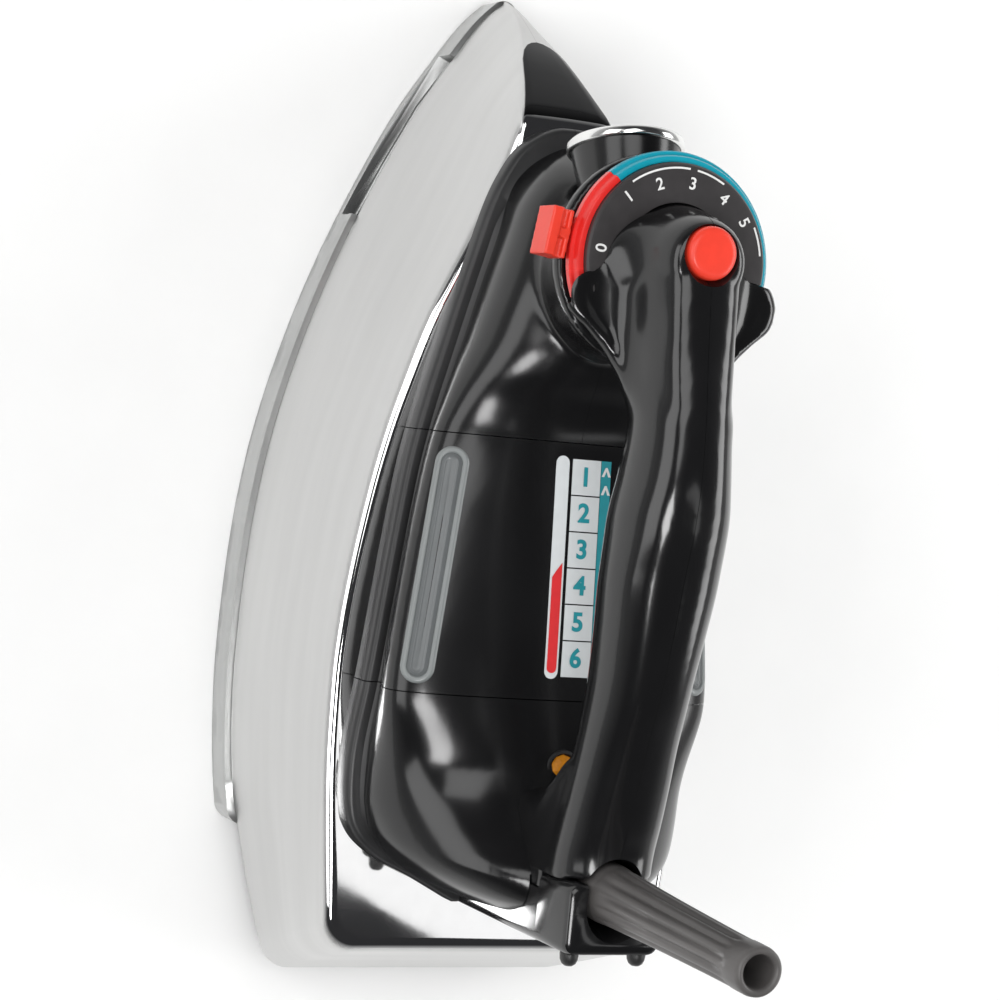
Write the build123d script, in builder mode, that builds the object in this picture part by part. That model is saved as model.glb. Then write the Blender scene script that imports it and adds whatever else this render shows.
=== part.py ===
"""Classic steam and dry clothes iron, as an assembly of separate pieces.

Frame: +X points to the nose, +Y to the left side, +Z up, with the sole on Z = 0
and the origin under the middle of the shell.  Millimetres.
"""
from build123d import *
import os
from math import cos, sin, radians, degrees, atan2, sqrt, pi

os.makedirs("parts", exist_ok=True)

# ------------------------------------------------------------ driving sizes
TIP_X = 128.0            # nose of the soleplate
TIP = (TIP_X, 0.0)
REAR_X = -128.0          # rearmost edge of the chrome shell
SOLE_T = 10.0            # thickness of the soleplate at its edge
SOLE_REAR = -91.0        # rear edge of the soleplate
SHELL_Z0 = 10.2          # bottom edge of the chrome shell
SHELL_T = 1.2            # shell sheet thickness
DECK_Z = 55.8            # top of the shell's deck
FLANGE_T = 5.0           # height of the black body's foot flange
WALL = 2.3               # wall of the black body covers
SEAM_F = 15.0            # front seam of the body (front covers / saddle)
SEAM_R = -47.0           # rear seam of the body (saddle / rear cover)
DIAL_X = 58.5            # axis of the temperature lever and the steam button
DIAL_R = 22.9            # number plate radius
RING_R = 25.6            # coloured scale ring radius
PLATE_Z = 119.3          # top of the number plate
LEVER_Z0, LEVER_Z1 = 109.6, 112.6
BUTTON_R = 6.2
BUTTON_TRAVEL = 3.0
CUP_TILT = 15.0          # fill cup axis below horizontal, level when on the heel
CUP_X, CUP_Z, CUP_R = 87.0, 87.5, 13.3
GUARD_X, GUARD_Z = -87.4, 110.0   # cord guard pivot
GUARD_TOP = 185.5
HEEL_W = 12.3            # half width of the heel block
HEEL_X = -101.5          # rear face of the heel block
VALVE_X = DIAL_X - 12.0  # steam valve rod
BUTTON_X = 60.5          # steam button axis
STUDS = [(8.0, 0.0), (-80.0, 0.0)]
HIGH = 200.0


def interp(x, table):
    """Piecewise linear look-up in a table of (x, y) with falling x."""
    if x >= table[0][0]:
        (x0, y0), (x1, y1) = table[0], table[1]
    elif x <= table[-1][0]:
        (x0, y0), (x1, y1) = table[-2], table[-1]
    else:
        for (x0, y0), (x1, y1) in zip(table, table[1:]):
            if x1 <= x <= x0:
                break
    return y0 + (y1 - y0) * (x - x0) / (x1 - x0)


# half width of the soleplate against x
SOLE = [(128.0, 0.0), (126.5, 3.1), (121.1, 8.2), (111.2, 15.0), (99.7, 22.3), (83.0, 30.9),
        (66.4, 38.3), (50.1, 44.6), (28.7, 51.3), (7.5, 56.2), (-13.4, 59.0), (-34.3, 60.2),
        (-49.9, 60.4), (-60.3, 60.0), (-81.1, 58.0)]
# half width of the shell at its bottom edge
LOW = [(127.6, 0.0), (126.0, 2.4), (121.1, 6.9), (111.2, 13.5), (99.7, 20.8), (83.0, 29.4),
       (66.4, 36.8), (50.1, 43.1), (28.7, 49.8), (7.5, 54.7), (-13.4, 57.5), (-34.3, 58.7),
       (-49.9, 58.9), (-60.3, 58.5), (-81.1, 56.4), (-95.3, 52.9), (-105.7, 50.2), (-116.0, 47.0),
       (-128.0, 43.0)]
# half width of the shell at its shoulder
SHOULDER = [(120.0, -9.3), (116.0, -3.1), (112.0, 1.1), (108.0, 4.2), (104.0, 6.9), (100.0, 9.6),
            (96.0, 12.0), (85.0, 15.6), (77.0, 18.4), (70.1, 21.2), (62.5, 24.4), (51.0, 29.6),
            (43.5, 32.9), (35.5, 35.7), (28.7, 37.8), (18.3, 40.9), (12.0, 42.5), (2.8, 44.5),
            (-8.6, 46.5), (-21.0, 48.3), (-33.2, 49.6), (-45.2, 50.2), (-62.8, 49.9), (-80.0, 48.7),
            (-92.8, 47.5), (-110.4, 45.8), (-128.0, 44.0)]
# nose line and nose facet half width against height
NOSE = [(56.0, 94.2, 12.8), (54.0, 96.0, 12.1), (50.0, 100.0, 10.5), (45.8, 104.0, 9.0),
        (41.4, 108.0, 7.5), (36.6, 112.0, 5.9), (31.0, 116.0, 4.1), (25.3, 120.0, 2.5),
        (18.0, 124.4, 1.3), (10.0, 127.8, 0.7)]
# body flange half width against x (black body's foot)
FLANGE = [(92.0, 0.0), (91.6, 4.5), (89.2, 9.7), (84.9, 14.7), (78.2, 18.6), (72.0, 21.1),
          (64.8, 23.2), (57.7, 25.0), (46.1, 28.0), (36.1, 30.5), (23.6, 33.6), (14.1, 35.6),
          (5.3, 37.1), (-7.2, 38.6), (-26.0, 40.6), (-45.4, 42.6), (-61.8, 44.8), (-72.0, 45.0),
          (-78.8, 44.2), (-83.0, 42.7), (-87.0, 39.6), (-91.0, 33.9), (-94.8, 25.6), (-100.8, 14.0)]
# stations of the upper body: x, foot half width, shoulder half width, shoulder z, top z
BODY = [(66.0, 18.0, 19.4, 70.0, 84.0), (48.0, 22.8, 24.6, 70.5, 87.0), (38.0, 25.2, 27.4, 70.5, 86.8),
        (31.0, 27.1, 29.8, 70.0, 85.2), (23.0, 29.0, 32.2, 69.6, 81.2), (SEAM_F, 31.0, 34.6, 69.5, 79.2),
        (-2.0, 33.6, 38.0, 70.6, 80.4), (-20.0, 35.6, 40.6, 71.8, 81.8), (-36.0, 37.4, 42.4, 73.0, 83.0),
        (SEAM_R, 38.4, 43.0, 73.4, 83.6), (-62.0, 40.2, 43.0, 73.6, 84.3), (-74.0, 40.2, 42.0, 73.6, 85.6),
        (-82.0, 38.2, 39.8, 73.6, 86.6), (-88.0, 34.2, 35.6, 73.4, 87.0), (-93.0, 26.6, 28.0, 73.0, 87.0),
        (-97.5, 17.4, 18.6, 73.0, 87.0)]
# handle stations: x, half width, width z, top z, bottom z
GRIP = [(36.0, 13.0, 121.5, 138.3, 114.0), (29.5, 11.8, 125.0, 139.4, 115.5),
        (21.5, 11.3, 128.0, 140.2, 116.2), (10.0, 12.2, 127.5, 140.7, 114.5),
        (-1.0, 13.4, 126.5, 139.6, 112.5), (-13.0, 13.4, 125.0, 136.9, 111.5),
        (-27.0, 12.5, 122.5, 134.1, 110.5), (-40.0, 11.7, 119.8, 131.0, 108.5),
        (-52.0, 11.6, 117.0, 127.0, 106.0), (-63.0, 11.9, 114.5, 123.6, 102.0),
        (-72.0, 12.2, 111.0, 120.6, 97.5), (-79.5, 12.3, 108.0, 118.7, 94.5)]


def shell_outline(z, inset):
    """Left side of the shell's plan outline at a height: side points and rear corner."""
    t = (z - SHELL_Z0) / (54.0 - SHELL_Z0)
    xf = interp(z, [(a, b) for a, b, c in NOSE]) - inset * 1.1
    yf = max(0.6, interp(z, [(a, c) for a, b, c in NOSE]) - inset * 0.45)
    xr = REAR_X + 13.6 * t + inset
    side = [(xf, yf)]
    x0, x1 = xf - 5.0, xr + 7.0
    for i in range(13):
        x = x0 + (x1 - x0) * (i / 12.0) ** 1.1
        y = (1.0 - t) * interp(x, LOW) + t * interp(x, SHOULDER) - inset
        side.append((x, max(y, yf + 0.8)))
    yc = side[-1][1]
    return side, (xr + 2.3, yc - 2.6), (xr, yc - 8.5)


def flange_points(inset, rear):
    """Left half of the body's foot outline, from front to rear."""
    pts = [(92.0 - inset, 0.0)]
    for x, y in FLANGE[1:]:
        if x < rear:
            break
        k = 1.0 if x > 80 else 0.12
        pts.append((x - inset * k * (1.0 - y / 26.0 if x > 80 else 1.0), max(y - inset * (y / 15.0 if x > 84 else 1.0), 2.0)))
    return pts


def body_section(row, inset):
    """Left half of an upper body section, from foot to crown."""
    x, wb, ws, zs, zt = row
    wb, ws, zt = wb - inset, ws - inset, zt - inset
    zs = zs - inset * 0.3
    pts = [(wb, 60.0), (wb + (ws - wb) * 0.72, 60.0 + (zs - 60.0) * 0.5)]
    n = 2.0 / 2.35
    for a in (0, 22, 40, 56, 72, 90):
        c, s = max(cos(radians(a)), 0.0) ** n, max(sin(radians(a)), 0.0) ** n
        if a == 90:
            c = 0.0
        pts.append((ws * c, zs + (zt - zs) * s))
    return pts


def grip_section(row, inset=0.0):
    """Left half of a handle section, from its underside to its top."""
    x, w, zw, zt, zb = row
    n = 2.0 / 2.3
    pts = []
    for a in (-90, -66, -44, -22, 0, 22, 44, 66, 90):
        c, s = abs(cos(radians(a))) ** n, abs(sin(radians(a))) ** n
        if abs(a) == 90:
            c = 0.0
        h = (zt - zw) if a > 0 else (zw - zb)
        pts.append((w * c, zw + (s * h if a > 0 else -s * h)))
    return pts


# ------------------------------------------------------------ soleplate group
sole_side = SOLE[1:] + [(-86.0, 57.2)]
chamber_half = [(92.0, 0.0), (88.0, 8.0), (70.0, 17.5), (48.0, 25.0), (30.0, 28.0), (26.0, 25.0), (25.0, 18.0), (25.0, 0.0)]
cover_half = [(96.0, 0.0), (92.0, 9.6), (72.0, 20.0), (49.0, 28.0), (29.0, 31.5), (23.0, 28.5), (21.5, 21.0), (21.5, 0.0)]

with BuildPart() as soleplate:
    with BuildSketch(Plane.XY):
        with BuildLine():
            for k in (1, -1):
                m = [(x, y * k) for x, y in sole_side]
                Spline(*m)
                ThreePointArc(m[-1], (-89.6, 55.6 * k), (SOLE_REAR, 51.6 * k))
            ThreePointArc((126.5, -3.1), TIP, (126.5, 3.1))
            Line((SOLE_REAR, -51.6), (SOLE_REAR, 51.6))
        make_face()
    extrude(amount=SOLE_T)
    # steam chamber pocket and the ledge of its cover
    with BuildSketch(Plane.XY.offset(4.0)):
        with BuildLine():
            Polyline(*chamber_half)
            Polyline(*[(x, -y) for x, y in chamber_half])
        make_face()
    extrude(amount=20.0, mode=Mode.SUBTRACT)
    with BuildSketch(Plane.XY.offset(8.6)):
        with BuildLine():
            Polyline(*cover_half)
            Polyline(*[(x, -y) for x, y in cover_half])
        make_face()
    extrude(amount=20.0, mode=Mode.SUBTRACT)
    # button grooves along the front edges
    for side in (1, -1):
        with BuildSketch(Plane.XY.offset(4.4)):
            with BuildLine():
                inner = [(110.0, 11.6), (98.0, 19.2), (82.0, 27.4), (66.8, 34.2)]
                outer = [(69.0, 40.5), (84.0, 34.0), (100.0, 26.0), (113.0, 17.6)]
                Polyline(*[(x, y * side) for x, y in inner + outer], close=True)
            make_face()
        extrude(amount=3.4, mode=Mode.SUBTRACT)
    # channel for the cast-in heating element
    with BuildLine():
        Polyline((-66, 30, SOLE_T), (40, 38.5, SOLE_T))
    with BuildSketch(Plane(origin=(-66, 30, SOLE_T), x_dir=(0, 0, 1), z_dir=(106, 8.5, 0))):
        Circle(3.7)
    extrude(amount=84.0, mode=Mode.SUBTRACT)
    with BuildSketch(Plane(origin=(-66, -30, SOLE_T), x_dir=(0, 0, 1), z_dir=(106, -8.5, 0))):
        Circle(3.7)
    extrude(amount=84.0, mode=Mode.SUBTRACT)
    with BuildSketch(Plane(origin=(-66, 34, SOLE_T), x_dir=(0, 0, 1), z_dir=(0, -1, 0))):
        Circle(3.7)
    extrude(amount=68.0, mode=Mode.SUBTRACT)
    # steam vents through the sole into the chamber
    with Locations(*[(84 - 9.0 * i, s * (5.6 + 2.9 * i)) for i in range(7) for s in (1, -1)] + [(86 - 10.0 * i, 0) for i in range(6)]):
        Hole(1.7)
soleplate.part.label = "soleplate"
export_step(soleplate.part, "parts/soleplate.step")

with BuildPart() as heating_element:
    with BuildLine() as path:
        FilletPolyline((12.0, 36.22, SOLE_T), (-66.0, 30.0, SOLE_T), (-66.0, -30.0, SOLE_T), (12.0, -36.22, SOLE_T), radius=3.6)
    with BuildSketch(Plane(origin=(12.0, 36.22, SOLE_T), x_dir=(0, 0, 1), z_dir=(-78.0, -6.22, 0))):
        Circle(3.4)
    sweep()
    # terminal pins on the rear run
    with BuildSketch(Plane.XY.offset(SOLE_T + 2.0)):
        with Locations((-66, 12), (-66, -12)):
            Circle(1.8)
    extrude(amount=16.0)
heating_element.part.label = "heating_element"
export_step(heating_element.part, "parts/heating_element.step")

with BuildPart() as steam_chamber_cover:
    with BuildSketch(Plane.XY.offset(8.6)):
        with BuildLine():
            Polyline(*cover_half)
            Polyline(*[(x, -y) for x, y in cover_half])
        make_face()
    extrude(amount=1.4)
    with BuildSketch(Plane.XY.offset(8.0)):
        with Locations((VALVE_X, 0)):
            Circle(3.2)
    extrude(amount=10.0, mode=Mode.SUBTRACT)
steam_chamber_cover.part.label = "steam_chamber_cover"
export_step(steam_chamber_cover.part, "parts/steam_chamber_cover.step")

# drip nozzle that carries the valve seat, between the tank and the chamber
with BuildPart() as valve_seat:
    with BuildSketch(Plane.XY.offset(7.0)):
        with Locations((VALVE_X, 0)):
            Circle(3.1)
    extrude(amount=51.2)
    with BuildSketch(Plane.XY.offset(58.2)):
        with Locations((VALVE_X, 0)):
            Circle(5.0)
    extrude(amount=3.2)
    with BuildSketch(Plane.XY.offset(6.0)):
        with Locations((VALVE_X, 0)):
            Circle(1.2)
    extrude(amount=52.0, mode=Mode.SUBTRACT)
    with BuildSketch(Plane.XY.offset(56.9)):
        with Locations((VALVE_X, 0)):
            Circle(2.6)
    extrude(amount=5.0, mode=Mode.SUBTRACT)
valve_seat.part.label = "valve_seat"
export_step(valve_seat.part, "parts/valve_seat.step")

# thermostat: base plate, ceramic stack and bimetal blade
with BuildPart() as thermostat_base:
    with BuildSketch(Plane.XY.offset(SOLE_T)):
        with Locations((29.5, 0)):
            Rectangle(19, 16)
    extrude(amount=2.0)
    with BuildSketch(Plane.XY.offset(SOLE_T + 2.0)):
        with Locations((28.5, 0)):
            Circle(5.5)
    extrude(amount=16.0)
    with BuildSketch(Plane.XY.offset(24.0)):
        with Locations((44.0, 0)):
            Rectangle(42, 14)
    extrude(amount=2.0)
    with BuildSketch(Plane.XY.offset(26.0)):
        with Locations((DIAL_X, 0)):
            Circle(6.0)
    extrude(amount=8.0)
    with BuildSketch(Plane.XY.offset(20.0)):
        with Locations((DIAL_X, 0)):
            Circle(3.06)
        with Locations((VALVE_X, 0)):
            Circle(3.7)
    extrude(amount=20.0, mode=Mode.SUBTRACT)
thermostat_base.part.label = "thermostat_base"
export_step(thermostat_base.part, "parts/thermostat_base.step")

with BuildPart() as bimetal_blade:
    with BuildSketch(Plane.XY.offset(14.4)):
        with Locations((48.6, 0)):
            Rectangle(28.6, 12)
    extrude(amount=0.8)
    with BuildSketch(Plane.XY.offset(15.2)):
        with Locations((DIAL_X, 0)):
            Circle(2.0)
    extrude(amount=2.0)
    with BuildSketch(Plane.XY.offset(14.0)):
        with Locations((VALVE_X, 0)):
            Circle(3.9)
    extrude(amount=2.0, mode=Mode.SUBTRACT)
bimetal_blade.part.label = "bimetal_blade"
export_step(bimetal_blade.part, "parts/bimetal_blade.step")

with BuildPart() as thermostat_shaft:
    with BuildSketch(Plane.XY.offset(20.5)):
        with Locations((DIAL_X, 0)):
            Circle(3.0)
    extrude(amount=LEVER_Z1 - 20.5)
    with BuildSketch(Plane.XY.offset(36.0)):
        with Locations((DIAL_X, 0)):
            Circle(4.6)
    extrude(amount=3.0)
thermostat_shaft.part.label = "thermostat_shaft"
export_step(thermostat_shaft.part, "parts/thermostat_shaft.step")

# ------------------------------------------------------------ chrome shell
LEVELS = (SHELL_Z0, 20.0, 30.0, 40.0, 48.0, 53.6)
with BuildPart() as chrome_shell:
    for z in LEVELS:
        with BuildSketch(Plane.XY.offset(z)):
            side, mid, end = shell_outline(z, 0.0)
            with BuildLine():
                for k in (1, -1):
                    m = [(x, y * k) for x, y in side]
                    Spline(*m)
                    ThreePointArc(m[-1], (mid[0], mid[1] * k), (end[0], end[1] * k))
                Line((side[0][0], -side[0][1]), side[0])
                Line((end[0], -end[1]), end)
            make_face()
    for z, inset in ((55.1, 0.7), (DECK_Z, 2.2)):
        with BuildSketch(Plane.XY.offset(z)):
            side, mid, end = shell_outline(z, inset)
            with BuildLine():
                for k in (1, -1):
                    m = [(x, y * k) for x, y in side]
                    Spline(*m)
                    ThreePointArc(m[-1], (mid[0], mid[1] * k), (end[0], end[1] * k))
                Line((side[0][0], -side[0][1]), side[0])
                Line((end[0], -end[1]), end)
            make_face()
    loft(ruled=True)

with BuildPart() as shell_space:
    for z, inset in ((SHELL_Z0 - 1.0, SHELL_T), (20.0, SHELL_T), (30.0, SHELL_T), (40.0, SHELL_T), (48.0, SHELL_T), (DECK_Z - SHELL_T, SHELL_T + 1.8)):
        with BuildSketch(Plane.XY.offset(z)):
            side, mid, end = shell_outline(z, inset)
            with BuildLine():
                for k in (1, -1):
                    m = [(x, y * k) for x, y in side]
                    Spline(*m)
                    ThreePointArc(m[-1], (mid[0], mid[1] * k), (end[0], end[1] * k))
                Line((side[0][0], -side[0][1]), side[0])
                Line((end[0], -end[1]), end)
            make_face()
    loft(ruled=True)

with BuildPart() as chrome_shell_cut:
    add(chrome_shell.part)
    add(shell_space.part, mode=Mode.SUBTRACT)
    # openings in the deck for the valve, the thermostat shaft, the studs and the leads
    with BuildSketch(Plane.XY.offset(50.0)):
        with Locations((VALVE_X, 0)):
            Circle(3.6)
        with Locations((DIAL_X, 0)):
            Circle(4.4)
        with Locations(*STUDS):
            Circle(3.2)
        with Locations((-90, 0)):
            Circle(4.0)
    extrude(amount=10.0, mode=Mode.SUBTRACT)
chrome_shell_cut.part.label = "chrome_shell"
export_step(chrome_shell_cut.part, "parts/chrome_shell.step")

with BuildPart() as shell_rear_cover:
    with BuildSketch(Plane.XY.offset(SHELL_Z0)):
        with BuildLine():
            Polyline((-92.0, 51.2), (-106.0, 47.4), (-116.0, 43.8), (-122.0, 40.0), (-124.6, 34.0), (-125.0, 26.0),
                     (-125.0, -26.0), (-124.6, -34.0), (-122.0, -40.0), (-116.0, -43.8), (-106.0, -47.4), (-92.0, -51.2), close=True)
        make_face()
    extrude(amount=1.6)
shell_rear_cover.part.label = "shell_rear_cover"
export_step(shell_rear_cover.part, "parts/shell_rear_cover.step")

# studs that hold the soleplate, the shell and the body together
with BuildPart() as shell_studs:
    with BuildSketch(Plane.XY.offset(SOLE_T)):
        with Locations(*STUDS):
            Circle(4.0)
    extrude(amount=DECK_Z - SHELL_T - SOLE_T)
    with BuildSketch(Plane.XY.offset(DECK_Z - SHELL_T)):
        with Locations(*STUDS):
            Circle(2.5)
    extrude(amount=8.0)
shell_studs.part.label = "shell_studs"
export_step(shell_studs.part, "parts/shell_studs.step")

# ------------------------------------------------------------ black body
def stations(table, count):
    """Even stations between the rows of a table, eased with a monotone cubic."""
    xs = [row[0] for row in table]
    out = []
    for i in range(count):
        x = xs[0] + (xs[-1] - xs[0]) * i / (count - 1)
        j = max(k for k in range(len(xs) - 1) if x <= xs[k] + 1e-9)
        h = xs[j + 1] - xs[j]
        t = (x - xs[j]) / h
        row = [x]
        for c in range(1, len(table[0])):
            y0, y1 = table[j][c], table[j + 1][c]
            d = (y1 - y0) / h
            dl = (y0 - table[j - 1][c]) / (xs[j] - xs[j - 1]) if j > 0 else d
            dr = (table[j + 2][c] - y1) / (xs[j + 2] - xs[j + 1]) if j + 2 < len(xs) else d
            m0 = 0.0 if dl * d <= 0 else 2.0 * dl * d / (dl + d)
            m1 = 0.0 if dr * d <= 0 else 2.0 * dr * d / (dr + d)
            row.append((2*t**3 - 3*t**2 + 1)*y0 + (t**3 - 2*t**2 + t)*h*m0 + (-2*t**3 + 3*t**2)*y1 + (t**3 - t**2)*h*m1)
        out.append(tuple(row))
    return out


# neck under the dial: height, front x, rear x, half width
NECK = [(60.0, 82.4, 33.1, 18.9), (64.0, 79.0, 33.4, 18.4), (72.0, 76.0, 34.0, 17.8), (82.0, 74.6, 34.8, 17.4),
        (92.0, 75.4, 35.2, 18.4), (100.0, 78.2, 35.2, 20.8), (105.0, 80.6, 35.0, 22.8), (109.0, 81.8, 35.2, 23.3)]

with BuildPart() as body_outer:
    for row in stations(BODY, 34):
        pts = body_section(row, 0.0)
        with BuildSketch(Plane(origin=(row[0], 0, 0), x_dir=(0, 1, 0), z_dir=(1, 0, 0))):
            with BuildLine():
                Spline(*(pts + [(-y, z) for y, z in reversed(pts[:-1])]))
                Line((-pts[0][0], 60.0), (pts[0][0], 60.0))
            make_face()
    loft(ruled=True)

with BuildPart() as body_inner:
    for row in stations(BODY, 34)[:-1]:
        pts = body_section(row, WALL)
        with BuildSketch(Plane(origin=(row[0], 0, 0), x_dir=(0, 1, 0), z_dir=(1, 0, 0))):
            with BuildLine():
                Spline(*(pts + [(-y, z) for y, z in reversed(pts[:-1])]))
                Line((-pts[0][0], 60.0), (pts[0][0], 60.0))
            make_face()
    loft(ruled=True)

with BuildPart() as neck_outer:
    for z, xf, xr, w in NECK:
        with BuildSketch(Plane.XY.offset(z)):
            with Locations(((xf + xr) / 2.0, 0)):
                Ellipse((xf - xr) / 2.0, w)
    loft(ruled=True)

with BuildPart() as neck_inner:
    for z, xf, xr, w in NECK[:-1] + [(107.0, 81.2, 35.2, 23.0)]:
        with BuildSketch(Plane.XY.offset(z)):
            with Locations(((xf + xr) / 2.0, 0)):
                Ellipse((xf - xr) / 2.0 - WALL, w - WALL)
    loft(ruled=True)

foot_side = [(x, y) for x, y in FLANGE[1:]]
foot_inner = [(80.0, 6.0), (76.0, 12.0), (66.0, 16.0), (46.1, 21.6), (23.6, 27.4), (5.3, 31.0), (-26.0, 34.6),
              (-61.8, 37.8), (-76.0, 37.0), (-84.0, 32.0), (-90.0, 22.0), (-94.0, 13.0)]
with BuildPart() as body_foot:
    with BuildSketch(Plane.XY.offset(DECK_Z)):
        with BuildLine():
            for k in (1, -1):
                Spline(*[(x, y * k) for x, y in foot_side])
            ThreePointArc((foot_side[0][0], -foot_side[0][1]), (92.0, 0.0), foot_side[0])
            Line((foot_side[-1][0], -foot_side[-1][1]), foot_side[-1])
        make_face()
    extrude(amount=60.0 - DECK_Z)
    chamfer(body_foot.edges().group_by(Axis.Z)[-1], 1.0)
    with BuildSketch(Plane.XY.offset(DECK_Z)):
        with BuildLine():
            Polyline(*(foot_inner + [(x, -y) for x, y in reversed(foot_inner)]), close=True)
        make_face()
    extrude(amount=10.0, mode=Mode.SUBTRACT)

cup_axis = Plane(origin=(CUP_X, 0, CUP_Z), x_dir=(0, 1, 0), z_dir=(-cos(radians(CUP_TILT)), 0, sin(radians(CUP_TILT))))

with BuildPart() as body_all:
    add(body_outer.part)
    add(neck_outer.part)
    add(body_inner.part, mode=Mode.SUBTRACT)
    add(neck_inner.part, mode=Mode.SUBTRACT)
    add(body_foot.part)
    # shaft, valve rod and cup spout openings
    with BuildSketch(Plane.XY.offset(100.0)):
        with Locations((DIAL_X, 0)):
            Circle(5.4)
        with Locations((VALVE_X, 0)):
            Circle(2.4)
        with Locations((44.6, 8.4), (44.6, -8.4)):
            Circle(1.6)
    extrude(amount=12.0, mode=Mode.SUBTRACT)
    with BuildSketch(cup_axis.offset(6.0)):
        Circle(11.15)
    extrude(amount=10.0, mode=Mode.SUBTRACT)

SIDE = 90.0
with BuildPart() as front_cover_left:
    add(body_all.part)
    with Locations((SEAM_F + 0.1 - 100.0, 0, 90)):
        Box(200, 200, 200, mode=Mode.SUBTRACT)
    with Locations((0, -100.0 + 0.04, 90)):
        Box(400, 200, 200, mode=Mode.SUBTRACT)
front_cover_left.part.label = "front_cover_left"
export_step(front_cover_left.part, "parts/front_cover_left.step")

with BuildPart() as front_cover_right:
    add(body_all.part)
    with Locations((SEAM_F + 0.1 - 100.0, 0, 90)):
        Box(200, 200, 200, mode=Mode.SUBTRACT)
    with Locations((0, 100.0 - 0.04, 90)):
        Box(400, 200, 200, mode=Mode.SUBTRACT)
front_cover_right.part.label = "front_cover_right"
export_step(front_cover_right.part, "parts/front_cover_right.step")

# water window: a slot in each shoulder of the saddle
win_mid = (-16.5, 34.8, 77.05)
win_plane = Plane(origin=win_mid, x_dir=(-53.0, 6.2, 3.7), z_dir=(0.1147, 0.447, 0.894))
win_plane_r = Plane(origin=(win_mid[0], -win_mid[1], win_mid[2]), x_dir=(-53.0, -6.2, 3.7), z_dir=(0.1147, -0.447, 0.894))
GUIDE_X0, GUIDE_X1, GUIDE_Y0, GUIDE_Y1 = -42.0, 12.0, -8.6, 8.0

with BuildPart() as body_skin:
    for row in stations(BODY, 34)[:-1]:
        pts = body_section(row, 0.8)
        with BuildSketch(Plane(origin=(row[0], 0, 0), x_dir=(0, 1, 0), z_dir=(1, 0, 0))):
            with BuildLine():
                Spline(*(pts + [(-y, z) for y, z in reversed(pts[:-1])]))
                Line((-pts[0][0], 60.0), (pts[0][0], 60.0))
            make_face()
    loft(ruled=True)

with BuildPart() as fabric_guide:
    add(body_outer.part)
    add(body_skin.part, mode=Mode.SUBTRACT)
    with Locations(((GUIDE_X0 + GUIDE_X1) / 2.0, (GUIDE_Y0 + GUIDE_Y1) / 2.0, 85)):
        Box(GUIDE_X1 - GUIDE_X0, GUIDE_Y1 - GUIDE_Y0, 30, mode=Mode.INTERSECT)
fabric_guide.part.label = "fabric_guide"
export_step(fabric_guide.part, "parts/fabric_guide.step")

with BuildPart() as saddle_cover:
    add(body_all.part)
    with Locations((SEAM_F - 0.1 + 100.0, 0, 90)):
        Box(200, 300, 200, mode=Mode.SUBTRACT)
    with Locations((SEAM_R + 0.1 - 100.0, 0, 90)):
        Box(200, 300, 200, mode=Mode.SUBTRACT)
    add(fabric_guide.part, mode=Mode.SUBTRACT)
    for plane in (win_plane, win_plane_r):
        with BuildSketch(plane.offset(-8.0)):
            SlotOverall(57.0, 8.2)
        extrude(amount=14.0, mode=Mode.SUBTRACT)
saddle_cover.part.label = "saddle_cover"
export_step(saddle_cover.part, "parts/saddle_cover.step")

with BuildPart() as water_window_left:
    with BuildSketch(win_plane.offset(-8.0)):
        SlotOverall(56.9, 8.1)
    extrude(amount=14.0)
    add(body_outer.part, mode=Mode.INTERSECT)
    add(body_inner.part, mode=Mode.SUBTRACT)
water_window_left.part.label = "water_window_left"
export_step(water_window_left.part, "parts/water_window_left.step")

with BuildPart() as water_window_right:
    with BuildSketch(win_plane_r.offset(-8.0)):
        SlotOverall(56.9, 8.1)
    extrude(amount=14.0)
    add(body_outer.part, mode=Mode.INTERSECT)
    add(body_inner.part, mode=Mode.SUBTRACT)
water_window_right.part.label = "water_window_right"
export_step(water_window_right.part, "parts/water_window_right.step")

with BuildPart() as rear_cover:
    add(body_all.part)
    with Locations((SEAM_R - 0.1 + 100.0, 0, 90)):
        Box(200, 300, 200, mode=Mode.SUBTRACT)
    # recess for the heel block, and the lens hole
    with Locations((-88.7 - 50.0, 0, 90)):
        Box(100, 2 * HEEL_W + 0.2, 100, mode=Mode.SUBTRACT)
    with BuildSketch(Plane.XY.offset(78.0)):
        with Locations((-62.9, 0)):
            Circle(3.3)
    extrude(amount=12.0, mode=Mode.SUBTRACT)
rear_cover.part.label = "rear_cover"
export_step(rear_cover.part, "parts/rear_cover.step")

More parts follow.
